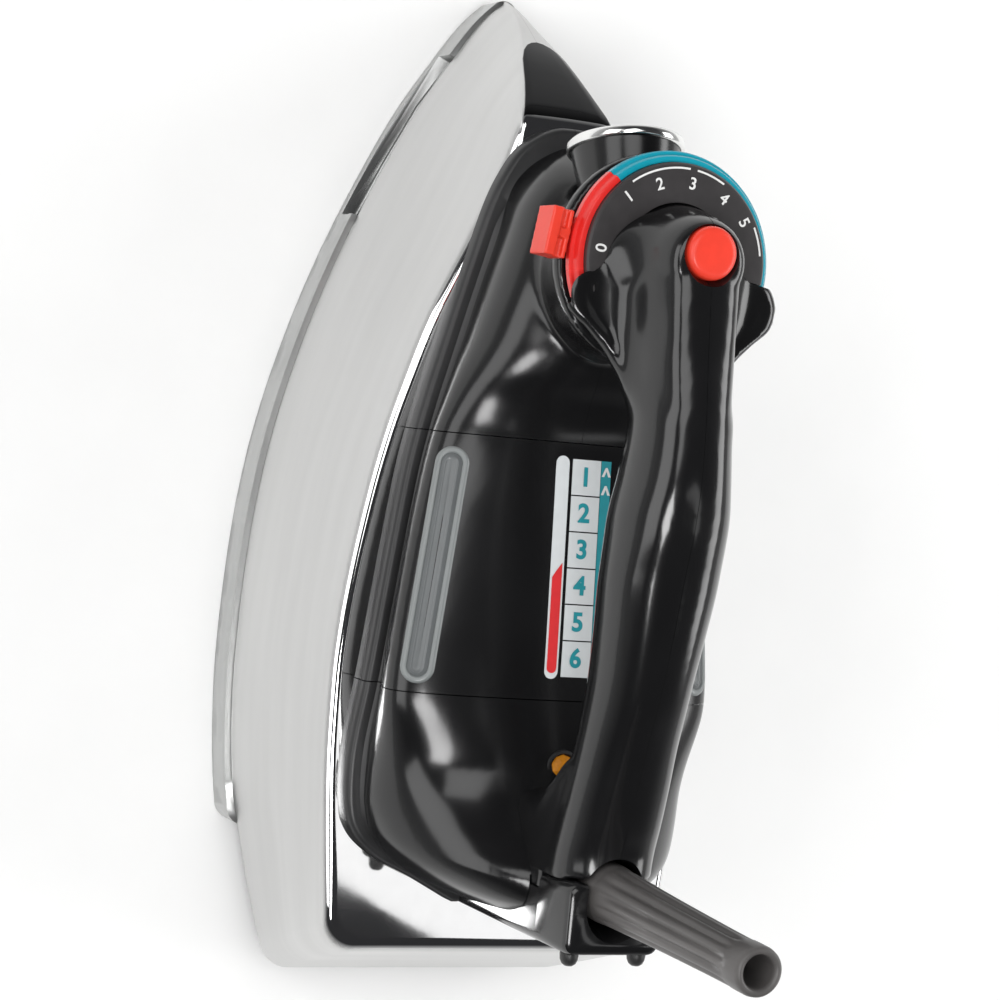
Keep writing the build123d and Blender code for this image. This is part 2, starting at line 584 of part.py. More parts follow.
# ------------------------------------------------------------ water system
tank_side = [(73.0, 4.5), (70.5, 8.5), (62.0, 12.5), (48.0, 17.6), (15.0, 25.6), (-20.0, 30.0), (-44.0, 31.0)]
with BuildPart() as water_tank:
    with BuildSketch(Plane.XY.offset(56.6)):
        with BuildLine():
            Polyline(*(tank_side + [(x, -y) for x, y in reversed(tank_side)]), close=True)
        make_face()
    extrude(amount=13.0)
    with BuildSketch(Plane.XY.offset(58.2)):
        with BuildLine():
            Polyline(*(tank_side + [(x, -y) for x, y in reversed(tank_side)]), close=True)
        make_face()
        offset(amount=-1.8, mode=Mode.REPLACE)
    extrude(amount=9.8, mode=Mode.SUBTRACT)
    # wells around the thermostat shaft and the front stud
    with BuildSketch(Plane.XY.offset(56.6)):
        with Locations((DIAL_X, 0)):
            Circle(5.8)
        with Locations(STUDS[0]):
            Circle(6.6)
    extrude(amount=13.0)
    with BuildSketch(Plane.XY.offset(50.0)):
        with Locations((DIAL_X, 0)):
            Circle(4.4)
        with Locations(STUDS[0]):
            Circle(5.2)
        with Locations((VALVE_X, 0)):
            Circle(3.1)
    extrude(amount=30.0, mode=Mode.SUBTRACT)
    with BuildSketch(Plane.XY.offset(66.0)):
        with Locations((67.0, 0)):
            Circle(2.8)
    extrude(amount=6.0, mode=Mode.SUBTRACT)
water_tank.part.label = "water_tank"
export_step(water_tank.part, "parts/water_tank.step")

with BuildPart() as fill_duct:
    with BuildSketch(Plane.XY.offset(69.6)):
        with Locations((67.0, 0)):
            Circle(4.6)
    extrude(amount=26.0)
    with BuildSketch(Plane.XY.offset(69.0)):
        with Locations((67.0, 0)):
            Circle(3.4)
    extrude(amount=25.0, mode=Mode.SUBTRACT)
    with BuildSketch(cup_axis.offset(12.0)):
        Circle(3.25)
    extrude(amount=8.0, mode=Mode.SUBTRACT)
fill_duct.part.label = "fill_duct"
export_step(fill_duct.part, "parts/fill_duct.step")

with BuildPart() as fill_cup:
    with BuildSketch(Plane(origin=(CUP_X, 0, CUP_Z), x_dir=(sin(radians(CUP_TILT)), 0, cos(radians(CUP_TILT))), z_dir=(0, -1, 0))):
        with BuildLine():
            Polyline((11.9, 0.0), (13.3, 0.0), (13.3, 2.2), (12.2, 7.5), (11.0, 10.5), (10.9, 12.6), (3.2, 12.6),
                     (3.2, 17.0), (2.2, 17.0), (2.2, 10.6), (9.0, 9.4), (10.4, 6.0), close=True)
        make_face()
    revolve(axis=Axis(origin=(CUP_X, 0, CUP_Z), direction=(cos(radians(CUP_TILT)), 0, -sin(radians(CUP_TILT)))))
fill_cup.part.label = "fill_cup"
export_step(fill_cup.part, "parts/fill_cup.step")

with BuildPart() as cup_rim:
    with BuildSketch(cup_axis.offset(-0.2)):
        Circle(CUP_R + 0.9)
        Circle(CUP_R, mode=Mode.SUBTRACT)
    extrude(amount=2.4)
cup_rim.part.label = "cup_rim"
export_step(cup_rim.part, "parts/cup_rim.step")

# ------------------------------------------------------------ handle
GRIP_ALL = [(62.0, 12.0, 121.0, 133.6, 116.3), (54.0, 13.2, 121.5, 136.0, 116.3), (45.0, 13.4, 121.5, 137.4, 116.0)] + GRIP
with BuildPart() as handle_inner:
    for row in stations(GRIP, 22)[:-2]:
        x, w, zw, zt, zb = row
        half = grip_section((x - 3.0, w - 2.3, zw, zt - 2.3, zb + 2.3))
        with BuildSketch(Plane(origin=(x - 3.0, 0, 0), x_dir=(0, 1, 0), z_dir=(1, 0, 0))):
            with BuildLine():
                Spline(*half)
                Spline(*[(-y, z) for y, z in half])
            make_face()
    loft(ruled=True)

wing = [(26.0, 9.8), (31.0, 12.0), (36.3, 15.1), (41.7, 20.2), (44.5, 24.6), (47.0, 26.5), (49.0, 26.3)]
wing_r = [(26.0, -9.8), (31.0, -12.0), (36.3, -15.1), (42.5, -20.2), (46.5, -24.6), (50.5, -27.0), (53.6, -26.8)]
with BuildPart() as handle_all:
    for row in stations(GRIP_ALL, 34):
        half = grip_section(row)
        with BuildSketch(Plane(origin=(row[0], 0, 0), x_dir=(0, 1, 0), z_dir=(1, 0, 0))):
            with BuildLine():
                Spline(*half)
                Spline(*[(-y, z) for y, z in half])
            make_face()
    loft(ruled=True)
    # hump around the steam button
    with BuildSketch(Plane.XY.offset(116.3)):
        with Locations((DIAL_X, 0)):
            Circle(13.4)
    extrude(amount=16.0, taper=4.0)
    with BuildSketch(Plane.XY.offset(130.0)):
        with Locations((BUTTON_X, 0)):
            Circle(9.4)
    extrude(amount=5.2, taper=6.0)
    # thumb rests beside the dial
    with BuildSketch(Plane.XY.offset(113.0)):
        with BuildLine():
            Spline(*wing)
            Spline(*wing_r)
            Line(wing[0], wing_r[0])
            Line(wing[-1], (55.0, 20.0))
            Line(wing_r[-1], (55.0, -20.0))
            Line((55.0, 20.0), (55.0, -20.0))
        make_face()
    extrude(amount=6.6)
    # core that stands on the neck
    with BuildSketch(Plane.XY.offset(109.0)):
        with Locations(((81.8 + 35.2) / 2.0, 0)):
            Ellipse((81.8 - 35.2) / 2.0 - 0.3, 23.0)
        with Locations((52.0 + 50.0, 0)):
            Rectangle(100, 80, mode=Mode.SUBTRACT)
    extrude(amount=7.3)
    # clear the dial sector
    with BuildSketch(Plane.XY.offset(112.0)):
        with BuildLine():
            Polyline((DIAL_X, 0), (DIAL_X + 60 * cos(radians(114)), 60 * sin(radians(114))), (120.0, 60.0), (120.0, -70.0),
                     (DIAL_X + 60 * cos(radians(-98)), 60 * sin(radians(-98))), close=True)
        make_face()
        with Locations((DIAL_X, 0)):
            Circle(25.8, mode=Mode.INTERSECT)
        with Locations((DIAL_X, 0)):
            Circle(13.4, mode=Mode.SUBTRACT)
    extrude(amount=7.8, mode=Mode.SUBTRACT)
    with BuildSketch(Plane.XY.offset(112.0)):
        with Locations((DIAL_X, 0)):
            Circle(23.0)
        with Locations((52.1 - 50.0, 0)):
            Rectangle(100, 80, mode=Mode.SUBTRACT)
    extrude(amount=4.3, mode=Mode.SUBTRACT)
    # rear pillar
    with BuildSketch(Plane(origin=(0, 12.0, 0), x_dir=(1, 0, 0), z_dir=(0, -1, 0))):
        with BuildLine():
            Polyline((-54.0, 109.0), (-60.0, 104.0), (-65.0, 97.5), (-67.6, 90.0), (-68.0, 80.0), (-88.8, 80.0), (-88.8, 103.0), (-84.7, 103.0),
                     (-84.7, 118.6), (-79.5, 118.4), (-72.0, 113.0), close=True)
        make_face()
    extrude(amount=24.0)
    add(handle_inner.part, mode=Mode.SUBTRACT)
    add(body_outer.part, mode=Mode.SUBTRACT)
    # guard recess in the hood
    with BuildSketch(Plane(origin=(0, 7.7, 0), x_dir=(1, 0, 0), z_dir=(0, -1, 0))):
        with Locations((GUARD_X, GUARD_Z)):
            Circle(8.0)
    extrude(amount=15.4, mode=Mode.SUBTRACT)
    with BuildSketch(Plane.XY.offset(GUARD_Z)):
        with Locations((GUARD_X + 1.2, 0)):
            Circle(8.2)
    extrude(amount=30.0, taper=-8.0, mode=Mode.SUBTRACT)
    with Locations((-84.5, 0, 97.0)):
        Box(9.0, 11.0, 12.4, mode=Mode.SUBTRACT)
    # button well, link chamber, rod hole, spring seat
    with BuildSketch(Plane.XY.offset(119.5)):
        with Locations((BUTTON_X, 0)):
            Circle(6.6)
        with Locations((52.5, 0)):
            Rectangle(20.0, 7.0)
    extrude(amount=8.2, mode=Mode.SUBTRACT)
    with BuildSketch(Plane.XY.offset(127.0)):
        with Locations((BUTTON_X, 0)):
            Circle(BUTTON_R + 0.08)
    extrude(amount=14.0, mode=Mode.SUBTRACT)
    with BuildSketch(Plane.XY.offset(118.0)):
        with Locations((BUTTON_X, 0)):
            Circle(5.4)
    extrude(amount=3.0, mode=Mode.SUBTRACT)
    with BuildSketch(Plane.XY.offset(105.0)):
        with Locations((VALVE_X, 0)):
            Circle(2.2)
    extrude(amount=16.0, mode=Mode.SUBTRACT)
    with BuildSketch(Plane.XY.offset(105.0)):
        with Locations((44.6, 8.4), (44.6, -8.4)):
            Circle(1.6)
    extrude(amount=9.0, mode=Mode.SUBTRACT)

with BuildPart() as handle_left:
    add(handle_all.part)
    with Locations((0, -100.0 + 0.04, 110)):
        Box(400, 200, 200, mode=Mode.SUBTRACT)
handle_left.part.label = "handle_left"
export_step(handle_left.part, "parts/handle_left.step")

with BuildPart() as handle_right:
    add(handle_all.part)
    with Locations((0, 100.0 - 0.04, 110)):
        Box(400, 200, 200, mode=Mode.SUBTRACT)
handle_right.part.label = "handle_right"
export_step(handle_right.part, "parts/handle_right.step")

# ------------------------------------------------------------ heel block
with BuildPart() as heel_block:
    with BuildSketch(Plane(origin=(0, HEEL_W, 0), x_dir=(1, 0, 0), z_dir=(0, -1, 0))):
        with BuildLine():
            Polyline((HEEL_X, DECK_Z), (HEEL_X, 119.2), (-84.8, 119.2), (-84.8, 103.1), (-88.8, 103.1), (-88.8, DECK_Z), close=True)
        make_face()
    extrude(amount=2 * HEEL_W)
    fillet(heel_block.edges().filter_by(Axis.Z).group_by(Axis.X)[0], 2.4)
    fillet(heel_block.faces().sort_by(Axis.X)[0].edges().sort_by(Axis.Z)[-1], 1.6)
    # cavity for the terminals and the cord
    with Locations((-94.0 + 2.0, 0, (DECK_Z + 101.0) / 2.0)):
        Box(14.4, 19.8, 101.0 - DECK_Z, mode=Mode.SUBTRACT)
    with BuildSketch(Plane.XY.offset(95.0)):
        with Locations((GUARD_X, 0)):
            Circle(3.9)
    extrude(amount=16.0, mode=Mode.SUBTRACT)
    # guard recess
    with BuildSketch(Plane(origin=(0, 7.7, 0), x_dir=(1, 0, 0), z_dir=(0, -1, 0))):
        with Locations((GUARD_X, GUARD_Z)):
            Circle(8.0)
    extrude(amount=15.4, mode=Mode.SUBTRACT)
    with BuildSketch(Plane.XY.offset(GUARD_Z)):
        with Locations((GUARD_X - 0.8, 0)):
            Circle(7.8)
    extrude(amount=14.0, taper=-14.0, mode=Mode.SUBTRACT)
    with BuildSketch(Plane(origin=(0, 11.0, 0), x_dir=(1, 0, 0), z_dir=(0, -1, 0))):
        with Locations((GUARD_X, GUARD_Z)):
            Circle(2.0)
    extrude(amount=22.0, mode=Mode.SUBTRACT)
heel_block.part.label = "heel_block"
export_step(heel_block.part, "parts/heel_block.step")

with BuildPart() as heel_feet:
    for y in (8.7, -8.7):
        with BuildSketch(Plane(origin=(HEEL_X, y, 114.6), x_dir=(0, 1, 0), z_dir=(-1, 0, 0))):
            Circle(2.1)
        extrude(amount=3.1)
    fillet(heel_feet.edges().group_by(Axis.X)[0], 1.6)
heel_feet.part.label = "heel_feet"
export_step(heel_feet.part, "parts/heel_feet.step")

# ------------------------------------------------------------ cord guard
guard_plane = Plane(origin=(GUARD_X, 0, GUARD_Z), x_dir=(1, 0, 0.04), z_dir=(-0.04, 0, 1))
GUARD_LEN = (GUARD_TOP - GUARD_Z)
with BuildPart() as cord_guard:
    with BuildSketch(Plane(origin=(0, 7.2, 0), x_dir=(1, 0, 0), z_dir=(0, -1, 0))):
        with Locations((GUARD_X, GUARD_Z)):
            Circle(7.2)
    extrude(amount=14.4)
    for d0, r0, d1, r1 in ((4.0, 7.0, 30.0, 6.3), (30.0, 6.3, GUARD_LEN, 5.5)):
        with BuildSketch(guard_plane.offset(d0)):
            Circle(r0)
        with BuildSketch(guard_plane.offset(d1)):
            Circle(r1)
        loft(ruled=True)
    # lengthwise flutes
    for i in range(8):
        a = radians(22.5 + 45.0 * i)
        with BuildSketch(guard_plane.offset(14.0)):
            with Locations((7.5 * cos(a), 7.5 * sin(a))):
                Circle(1.3)
        with BuildSketch(guard_plane.offset(68.0)):
            with Locations((6.35 * cos(a), 6.35 * sin(a))):
                Circle(1.3)
        loft(ruled=True, mode=Mode.SUBTRACT)
    with BuildSketch(guard_plane.offset(-10.0)):
        Circle(3.6)
    extrude(amount=GUARD_LEN + 14.0, mode=Mode.SUBTRACT)
    for y0, y1 in ((5.0, 8.0), (-8.0, -5.0)):
        with BuildSketch(Plane(origin=(0, y1, 0), x_dir=(1, 0, 0), z_dir=(0, -1, 0))):
            with Locations((GUARD_X, GUARD_Z)):
                Circle(2.06)
        extrude(amount=3.0, mode=Mode.SUBTRACT)
cord_guard.part.label = "cord_guard"
export_step(cord_guard.part, "parts/cord_guard.step")

with BuildPart() as guard_pins:
    for y in (11.0, -5.2):
        with BuildSketch(Plane(origin=(0, y, 0), x_dir=(1, 0, 0), z_dir=(0, -1, 0))):
            with Locations((GUARD_X, GUARD_Z)):
                Circle(2.0)
        extrude(amount=5.8)
guard_pins.part.label = "guard_pins"
export_step(guard_pins.part, "parts/guard_pins.step")

with BuildPart() as cord_clamp:
    with Locations((-94.1, 0, 97.5)):
        Box(9.8, 15.0, 6.6)
    with BuildSketch(Plane.XY.offset(90.0)):
        with Locations((-93.4, 0)):
            Circle(3.2)
    extrude(amount=16.0, mode=Mode.SUBTRACT)
cord_clamp.part.label = "cord_clamp"
export_step(cord_clamp.part, "parts/cord_clamp.step")

with BuildPart() as terminal_block:
    with Locations((-92.6, 0, DECK_Z + 5.0)):
        Box(12.4, 18.0, 10.0)
    with BuildSketch(Plane.XY.offset(DECK_Z + 4.0)):
        with Locations((-92.0, 4.6), (-92.0, -4.6)):
            Circle(1.9)
    extrude(amount=8.0, mode=Mode.SUBTRACT)
terminal_block.part.label = "terminal_block"
export_step(terminal_block.part, "parts/terminal_block.step")

with BuildPart() as element_leads:
    for k in (1, -1):
        with BuildLine():
            FilletPolyline((-66.0, 12.0 * k, SOLE_T + 18.0), (-66.0, 12.0 * k, 44.0), (-90.0, 2.0 * k, 44.0), (-90.0, 2.0 * k, DECK_Z), radius=4.0)
        with BuildSketch(Plane.XY.offset(SOLE_T + 18.0)):
            with Locations((-66.0, 12.0 * k)):
                Circle(1.1)
        sweep()
element_leads.part.label = "element_leads"
export_step(element_leads.part, "parts/element_leads.step")

with BuildPart() as stud_nuts:
    for x, y in STUDS:
        with BuildSketch(Plane.XY.offset(DECK_Z)):
            with Locations((x, y)):
                RegularPolygon(4.4, 6)
                Circle(2.5, mode=Mode.SUBTRACT)
        extrude(amount=4.0)
stud_nuts.part.label = "stud_nuts"
export_step(stud_nuts.part, "parts/stud_nuts.step")

with BuildPart() as handle_screws:
    for y in (8.4, -8.4):
        with BuildSketch(Plane.XY.offset(105.2)):
            with Locations((44.6, y)):
                Circle(2.9)
        extrude(amount=107.0 - 105.2)
        with BuildSketch(Plane.XY.offset(107.0)):
            with Locations((44.6, y)):
                Circle(1.6)
        extrude(amount=7.0)
handle_screws.part.label = "handle_screws"
export_step(handle_screws.part, "parts/handle_screws.step")

with BuildPart() as thermal_fuse:
    with Locations((-38.0, 0, SOLE_T + 1.2)):
        Box(14.0, 22.0, 2.4)
    with BuildSketch(Plane(origin=(-38.0, 13.0, SOLE_T + 5.2), x_dir=(1, 0, 0), z_dir=(0, -1, 0))):
        Circle(2.8)
    extrude(amount=26.0)
thermal_fuse.part.label = "thermal_fuse"
export_step(thermal_fuse.part, "parts/thermal_fuse.step")

# ------------------------------------------------------------ indicator
with BuildPart() as indicator_lens:
    with BuildSketch(Plane.XZ):
        with BuildLine():
            Polyline((-62.9, 79.6), (-58.7, 79.6), (-58.7, 81.2), (-59.7, 81.2), (-59.7, 85.4), (-60.9, 86.6), (-62.9, 87.0), close=True)
        make_face()
    revolve(axis=Axis(origin=(-62.9, 0, 0), direction=(0, 0, 1)))
indicator_lens.part.label = "indicator_lens"
export_step(indicator_lens.part, "parts/indicator_lens.step")

with BuildPart() as indicator_lamp:
    with BuildSketch(Plane.XY.offset(66.0)):
        with Locations((-62.9, 0)):
            Circle(2.6)
    extrude(amount=13.2)
    fillet(indicator_lamp.edges().group_by(Axis.Z)[-1], 1.6)
indicator_lamp.part.label = "indicator_lamp"
export_step(indicator_lamp.part, "parts/indicator_lamp.step")

# ------------------------------------------------------------ dial and lever
with BuildPart() as dial_base:
    with BuildSketch(Plane.XY.offset(113.0)):
        with Locations((DIAL_X, 0)):
            Circle(DIAL_R - 0.05)
        with Locations((52.2 - 50.0, 0)):
            Rectangle(100, 80, mode=Mode.SUBTRACT)
    extrude(amount=3.3)
dial_base.part.label = "dial_base"
export_step(dial_base.part, "parts/dial_base.step")

SECTOR = [(DIAL_X, 0.0), (DIAL_X + 60 * cos(radians(113.6)), 60 * sin(radians(113.6))), (120.0, 60.0), (120.0, -70.0),
          (DIAL_X + 60 * cos(radians(-97.6)), 60 * sin(radians(-97.6)))]
with BuildPart() as dial_plate:
    with BuildSketch(Plane.XY.offset(116.3)):
        with BuildLine():
            Polyline(*SECTOR, close=True)
        make_face()
        with Locations((DIAL_X, 0)):
            Circle(DIAL_R, mode=Mode.INTERSECT)
        with Locations((DIAL_X, 0)):
            Circle(13.5, mode=Mode.SUBTRACT)
    extrude(amount=PLATE_Z - 116.3)
dial_plate.part.label = "dial_plate"
export_step(dial_plate.part, "parts/dial_plate.step")

with BuildPart() as dial_ring:
    with BuildSketch(Plane.XY.offset(113.4)):
        with BuildLine():
            Polyline(*SECTOR, close=True)
        make_face()
        with Locations((DIAL_X, 0)):
            Circle(RING_R, mode=Mode.INTERSECT)
        with Locations((DIAL_X, 0)):
            Circle(DIAL_R, mode=Mode.SUBTRACT)
    extrude(amount=2.2)
    with BuildSketch(Plane.XY.offset(115.6)):
        with BuildLine():
            Polyline(*SECTOR, close=True)
        make_face()
        with Locations((DIAL_X, 0)):
            Circle(RING_R - 1.3, mode=Mode.INTERSECT)
        with Locations((DIAL_X, 0)):
            Circle(DIAL_R, mode=Mode.SUBTRACT)
    extrude(amount=1.6)
dial_ring.part.label = "dial_ring"
export_step(dial_ring.part, "parts/dial_ring.step")

LEVER_A = 82.0
arm_plane = Plane(origin=(DIAL_X, 0, LEVER_Z0), x_dir=(cos(radians(LEVER_A)), sin(radians(LEVER_A)), 0), z_dir=(0, 0, 1))
with BuildPart() as temperature_lever:
    with BuildSketch(Plane.XY.offset(LEVER_Z0)):
        with Locations((DIAL_X, 0)):
            Circle(5.2)
    extrude(amount=LEVER_Z1 - LEVER_Z0)
    with BuildSketch(arm_plane):
        with Locations((13.6, 0)):
            Rectangle(27.2, 7.0)
    extrude(amount=LEVER_Z1 - LEVER_Z0)
    with BuildSketch(arm_plane.offset(108.4 - LEVER_Z0)):
        with Locations((29.1, 0)):
            Rectangle(5.6, 11.2)
    extrude(amount=8.4)
    fillet(temperature_lever.edges().filter_by(Axis.Z).filter_by(lambda e: (e.center() - Vector(DIAL_X, 0, e.center().Z)).length > 29.0), 1.2)
    with BuildSketch(Plane.XY.offset(LEVER_Z0 - 1.0)):
        with Locations((DIAL_X, 0)):
            Circle(3.0)
    extrude(amount=8.0, mode=Mode.SUBTRACT)
temperature_lever.part.label = "temperature_lever"
export_step(temperature_lever.part, "parts/temperature_lever.step")

# ------------------------------------------------------------ steam button
with BuildPart() as steam_button:
    with BuildSketch(Plane.XY.offset(124.6)):
        with Locations((BUTTON_X, 0)):
            Circle(6.5)
        with Locations((52.4, 0)):
            Rectangle(17.0, 6.0)
    extrude(amount=2.2)
    with BuildSketch(Plane.XY.offset(126.8)):
        with Locations((BUTTON_X, 0)):
            Circle(BUTTON_R)
    extrude(amount=9.5)
    fillet(steam_button.edges().group_by(Axis.Z)[-1], 0.8)
steam_button.part.label = "steam_button"
export_step(steam_button.part, "parts/steam_button.step")

with BuildPart() as valve_rod:
    with BuildSketch(Plane.XY.offset(60.4)):
        with Locations((VALVE_X, 0)):
            Circle(1.4)
    extrude(amount=124.6 - 60.4)
valve_rod.part.label = "valve_rod"
export_step(valve_rod.part, "parts/valve_rod.step")

with BuildPart() as button_spring:
    with BuildLine(Plane.XY.offset(118.6)):
        coil = Helix(pitch=1.35, height=5.4, radius=4.2, center=(BUTTON_X, 0, 0))
    with BuildSketch(Plane(origin=coil @ 0, z_dir=coil % 0)):
        Circle(0.4)
    sweep()
button_spring.part.label = "button_spring"
export_step(button_spring.part, "parts/button_spring.step")
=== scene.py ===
import bpy, bmesh, math
from mathutils import Vector, Matrix
from mathutils.bvhtree import BVHTree
from math import sin, cos, tan, pi, radians, sqrt


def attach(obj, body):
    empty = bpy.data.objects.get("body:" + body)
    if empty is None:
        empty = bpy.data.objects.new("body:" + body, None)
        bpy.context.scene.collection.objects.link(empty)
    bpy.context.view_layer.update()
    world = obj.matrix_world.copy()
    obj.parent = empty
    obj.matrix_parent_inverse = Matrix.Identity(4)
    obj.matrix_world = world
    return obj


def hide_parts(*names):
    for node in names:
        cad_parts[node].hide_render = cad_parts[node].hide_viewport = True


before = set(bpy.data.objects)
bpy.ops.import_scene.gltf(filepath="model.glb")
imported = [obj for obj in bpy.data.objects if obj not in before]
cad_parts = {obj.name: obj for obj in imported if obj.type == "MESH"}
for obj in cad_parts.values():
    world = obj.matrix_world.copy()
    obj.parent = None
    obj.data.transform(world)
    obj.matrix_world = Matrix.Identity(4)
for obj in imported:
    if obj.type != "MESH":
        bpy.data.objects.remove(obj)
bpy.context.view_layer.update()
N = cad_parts
MM = 0.001
coll = bpy.context.scene.collection

# ---------------------------------------------------------------- camera
cam_data = bpy.data.cameras.new("camera")
cam = bpy.data.objects.new("camera", cam_data)
coll.objects.link(cam)
bpy.context.scene.camera = cam
cam_data.sensor_width = 36.0
cam_data.lens = 101.88
cam_data.clip_start = 0.01
cam_data.clip_end = 20.0
R = Vector((0.0918038, -0.90462145, 0.41621159))
U = Vector((0.99521005, 0.06924847, -0.06900435))
B = Vector((0.0336008, 0.42055282, 0.90664564))
cam.matrix_world = Matrix(((R.x, U.x, B.x, 0.02265), (R.y, U.y, B.y, 0.30432), (R.z, U.z, B.z, 0.69143), (0, 0, 0, 1)))


# ---------------------------------------------------------------- helpers
def table_at(x, table, c=1):
    """Monotone cubic look-up in rows of falling x."""
    xs = [r[0] for r in table]
    n = len(xs)
    if x >= xs[0]:
        j = 0
    elif x <= xs[-1]:
        j = n - 2
    else:
        j = max(k for k in range(n - 1) if x <= xs[k])
    h = xs[j + 1] - xs[j]
    t = (x - xs[j]) / h
    y0, y1 = table[j][c], table[j + 1][c]
    d = (y1 - y0) / h
    if t < 0 or t > 1:
        return y0 + d * (x - xs[j])
    dl = (y0 - table[j - 1][c]) / (xs[j] - xs[j - 1]) if j > 0 else d
    dr = (table[j + 2][c] - y1) / (xs[j + 2] - xs[j + 1]) if j + 2 < n else d
    m0 = 0.0 if dl * d <= 0 else 2 * dl * d / (dl + d)
    m1 = 0.0 if dr * d <= 0 else 2 * dr * d / (dr + d)
    return (2*t**3 - 3*t**2 + 1)*y0 + (t**3 - 2*t**2 + t)*h*m0 + (-2*t**3 + 3*t**2)*y1 + (t**3 - t**2)*h*m1


def catmull(pts, per):
    """Dense points through an open list of 2D points."""
    out = []
    n = len(pts)
    for i in range(n - 1):
        p0 = pts[max(i - 1, 0)]; p1 = pts[i]; p2 = pts[i + 1]; p3 = pts[min(i + 2, n - 1)]
        for k in range(per):
            t = k / per
            out.append(tuple(0.5 * ((2*b) + (-a + c)*t + (2*a - 5*b + 4*c - d)*t*t + (-a + 3*b - 3*c + d)*t**3) for a, b, c, d in zip(p0, p1, p2, p3)))
    out.append(tuple(pts[-1]))
    return out


def make(name, verts, faces, smooth=True):
    me = bpy.data.meshes.new(name)
    me.from_pydata([(x * MM, y * MM, z * MM) for x, y, z in verts], [], faces)
    me.update()
    ob = bpy.data.objects.new(name, me)
    coll.objects.link(ob)
    bm = bmesh.new(); bm.from_mesh(me)
    bmesh.ops.remove_doubles(bm, verts=bm.verts, dist=1e-7)
    bmesh.ops.recalc_face_normals(bm, faces=bm.faces)
    bm.to_mesh(me); bm.free()
    if smooth:
        me.shade_smooth()
    return ob


def loft(name, rings, cap0=True, cap1=True, smooth=True, closed=True, join=False):
    n = len(rings[0])
    verts = [p for r in rings for p in r]
    faces = []
    m = len(rings)
    for i in range(m if join else m - 1):
        a, b = i * n, ((i + 1) % m) * n
        for k in range(n if closed else n - 1):
            k2 = (k + 1) % n
            faces.append((a + k, a + k2, b + k2, b + k))
    if cap0 and not join:
        faces.append(tuple(range(n)))
    if cap1 and not join:
        faces.append(tuple((m - 1) * n + k for k in range(n)))
    return make(name, verts, faces, smooth)


def lathe(name, prof, origin, zdir, xdir, n=96, a0=0.0, a1=360.0, smooth=True):
    """prof: closed list of (r, h). Full turn, or a sector with end caps."""
    z = Vector(zdir).normalized(); x = Vector(xdir).normalized(); y = z.cross(x)
    o = Vector(origin)
    full = abs(a1 - a0) >= 359.9
    rings = []
    cnt = n if full else n + 1
    for i in range(cnt):
        a = radians(a0 + (a1 - a0) * i / n)
        rings.append([tuple(o + (x * cos(a) + y * sin(a)) * max(r, 0.0) + z * h) for r, h in prof])
    return loft(name, rings, cap0=not full, cap1=not full, join=full, smooth=smooth)


def mods_applied(ob):
    dg = bpy.context.evaluated_depsgraph_get()
    dg.update()
    me = bpy.data.meshes.new_from_object(ob.evaluated_get(dg))
    old = ob.data
    ob.modifiers.clear()
    ob.data = me
    bpy.data.meshes.remove(old)
    return ob


def joined(name, obs):
    bm = bmesh.new()
    for o in obs:
        bm.from_mesh(o.data)
    me = bpy.data.meshes.new(name)
    bm.to_mesh(me); bm.free()
    ob = bpy.data.objects.new(name, me)
    coll.objects.link(ob)
    for o in obs:
        m = o.data
        bpy.data.objects.remove(o)
        bpy.data.meshes.remove(m)
    return ob


def remesh(ob, size, it, factor=0.5):
    m = ob.modifiers.new("r", "REMESH"); m.mode = "VOXEL"; m.voxel_size = size * MM; m.adaptivity = 0.0
    s = ob.modifiers.new("s", "SMOOTH"); s.factor = factor; s.iterations = it
    mods_applied(ob)
    ob.data.shade_smooth()
    return ob


def boolean(ob, cutters, op="DIFFERENCE"):
    for c in cutters:
        m = ob.modifiers.new("b", "BOOLEAN"); m.operation = op; m.object = c; m.solver = "EXACT"
        mods_applied(ob)
    for c in cutters:
        me = c.data
        bpy.data.objects.remove(c)
        bpy.data.meshes.remove(me)
    ob.data.shade_smooth()
    return ob


def cut(src, name, planes):
    """A copy of src kept on the positive side of each (point, normal), with the cuts closed."""
    bm = bmesh.new(); bm.from_mesh(src.data)
    for co, no in planes:
        co = Vector(co) * MM
        geom = bm.verts[:] + bm.edges[:] + bm.faces[:]
        r = bmesh.ops.bisect_plane(bm, geom=geom, plane_co=co, plane_no=Vector(no), clear_inner=True, dist=1e-7)
        edges = [e for e in bm.edges if e.is_boundary]
        if edges:
            bmesh.ops.holes_fill(bm, edges=edges, sides=0)
    bmesh.ops.triangulate(bm, faces=[f for f in bm.faces if len(f.verts) > 4])
    bmesh.ops.recalc_face_normals(bm, faces=bm.faces)
    me = bpy.data.meshes.new(name)
    bm.to_mesh(me); bm.free()
    me.shade_smooth()
    ob = bpy.data.objects.new(name, me)
    coll.objects.link(ob)
    sharp(ob, 35)
    return ob


def sharp(ob, angle):
    me = ob.data
    me.shade_smooth()
    me.set_sharp_from_angle(angle=radians(angle))


def drop(ob):
    me = ob.data
    bpy.data.objects.remove(ob)
    bpy.data.meshes.remove(me)


def bevel(ob, width, seg=3, angle=30):
    m = ob.modifiers.new("bevel", "BEVEL"); m.width = width * MM; m.segments = seg
    m.limit_method = "ANGLE"; m.angle_limit = radians(angle); m.harden_normals = False
    mods_applied(ob)
    sharp(ob, 40)
    return ob


def prism(name, poly, z0, z1, plane="XY"):
    n = len(poly)
    def P(u, v, h):
        return (u, v, h) if plane == "XY" else (u, h, v)
    verts = [P(u, v, z0) for u, v in poly] + [P(u, v, z1) for u, v in poly]
    faces = [tuple(range(n)), tuple(range(n, 2 * n))] + [(i, (i + 1) % n, n + (i + 1) % n, n + i) for i in range(n)]
    return make(name, verts, faces, smooth=False)


